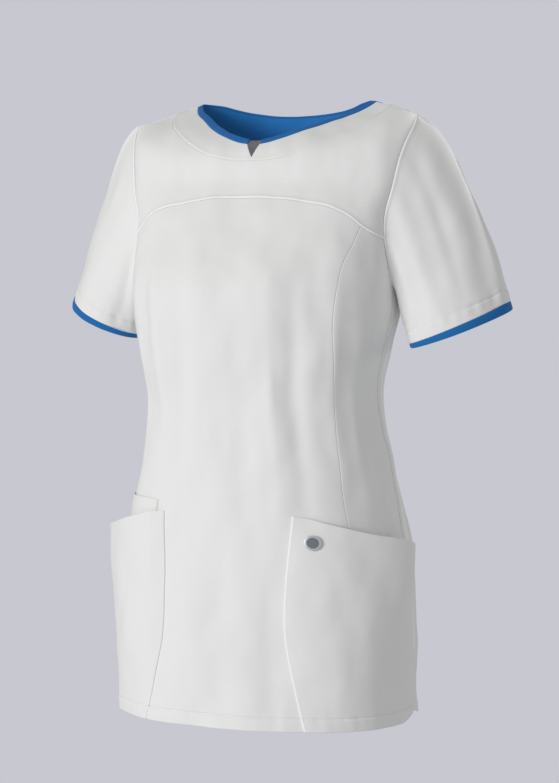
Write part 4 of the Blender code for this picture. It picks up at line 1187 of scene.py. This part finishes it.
for inward, rise in badge["rings"]:
    bmesh.ops.inset_region(plate, faces=topFace, thickness=inward / halfHeight, depth=0.0)
    bmesh.ops.translate(plate, verts=topFace[0].verts[:], vec=(0, 0, rise * mm))
for face in plate.faces:
    centreOfFace = face.calc_center_median()
    inField = math.hypot(centreOfFace.x, centreOfFace.y) < 1 - badge["rim"] / halfHeight
    face.material_index = 1 if (inField and face.normal.z > 0.1) else 0
topFace[0].material_index = 1
bmesh.ops.transform(plate, matrix=place @ turn @ size, verts=plate.verts)
bmesh.ops.recalc_face_normals(plate, faces=plate.faces)
piece = newObject("oval_badge", plate, [brushedSteel, stovedEnamel], sharp=35)
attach(piece, "root")
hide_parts("pocket_badge")
print("badge made")


# floor, light and camera
studio = {
    "floor": -1400, "floorRadius": 2400, "floorColour": "#dcdde1", "floorRoughness": 0.7,
    "backdrop": "#c7c8d0",
    "ambient": "#ffffff", "ambientStrength": 0.4,
    "keyFrom": (-1.9, -4.3, 0.35), "keySize": 1.8, "keyPower": 111,
    "rimFrom": (2.6, 2.4, 0.5), "rimSize": 1.0, "rimPower": 10,
    "fillFrom": (3.2, -2.4, 0.6), "fillSize": 2.5, "fillPower": 3.5,
    "cameraAt": (1.2597, -2.7227, -0.160), "pitch": -3.32, "azimuth": 25, "lens": 114.9,
}

vinyl = newMaterial("paleVinylFloor", studio["floorColour"], studio["floorRoughness"])
disc = bmesh.new()
bmesh.ops.create_circle(disc, cap_ends=True, segments=96, radius=studio["floorRadius"] * mm,
                        matrix=Matrix.Translation((0, 0, studio["floor"] * mm)))
newObject("floor", disc, [vinyl])

world = bpy.data.worlds.new("studio")
scene.world = world
world.use_nodes = True
tree = world.node_tree
tree.nodes.clear()
path = addNode(tree, "ShaderNodeLightPath")
soft = addNode(tree, "ShaderNodeBackground", Color=(*linear(studio["ambient"]), 1),
               Strength=studio["ambientStrength"])
seen = addNode(tree, "ShaderNodeBackground", Color=(*linear(studio["backdrop"]), 1),
               Strength=1.0)
mixed = addNode(tree, "ShaderNodeMixShader", [(path.outputs["Is Camera Ray"], 0),
                                              (soft.outputs[0], 1), (seen.outputs[0], 2)])
addNode(tree, "ShaderNodeOutputWorld", [(mixed.outputs[0], 0)])


def softbox(name, at, size, power, aim=(0, -0.03, -0.36)):
    light = bpy.data.lights.new(name, "AREA")
    light.shape, light.size, light.energy = "SQUARE", size, power
    lamp = bpy.data.objects.new(name, light)
    lamp.location = at
    lamp.rotation_euler = (Vector(aim) - Vector(at)).to_track_quat("-Z", "Y").to_euler()
    scene.collection.objects.link(lamp)


softbox("key", studio["keyFrom"], studio["keySize"], studio["keyPower"])
softbox("fill", studio["fillFrom"], studio["fillSize"], studio["fillPower"])
softbox("rim", studio["rimFrom"], studio["rimSize"], studio["rimPower"])

cameraData = bpy.data.cameras.new("camera")
cameraData.lens, cameraData.sensor_width = studio["lens"], 36
cameraData.clip_start, cameraData.clip_end = 0.05, 200
camera = bpy.data.objects.new("camera", cameraData)
camera.location = studio["cameraAt"]
camera.rotation_euler = (math.radians(90 + studio["pitch"]), 0, math.radians(studio["azimuth"]))
scene.collection.objects.link(camera)
scene.camera = camera
scene.view_settings.view_transform = "Standard"
print("studio made")
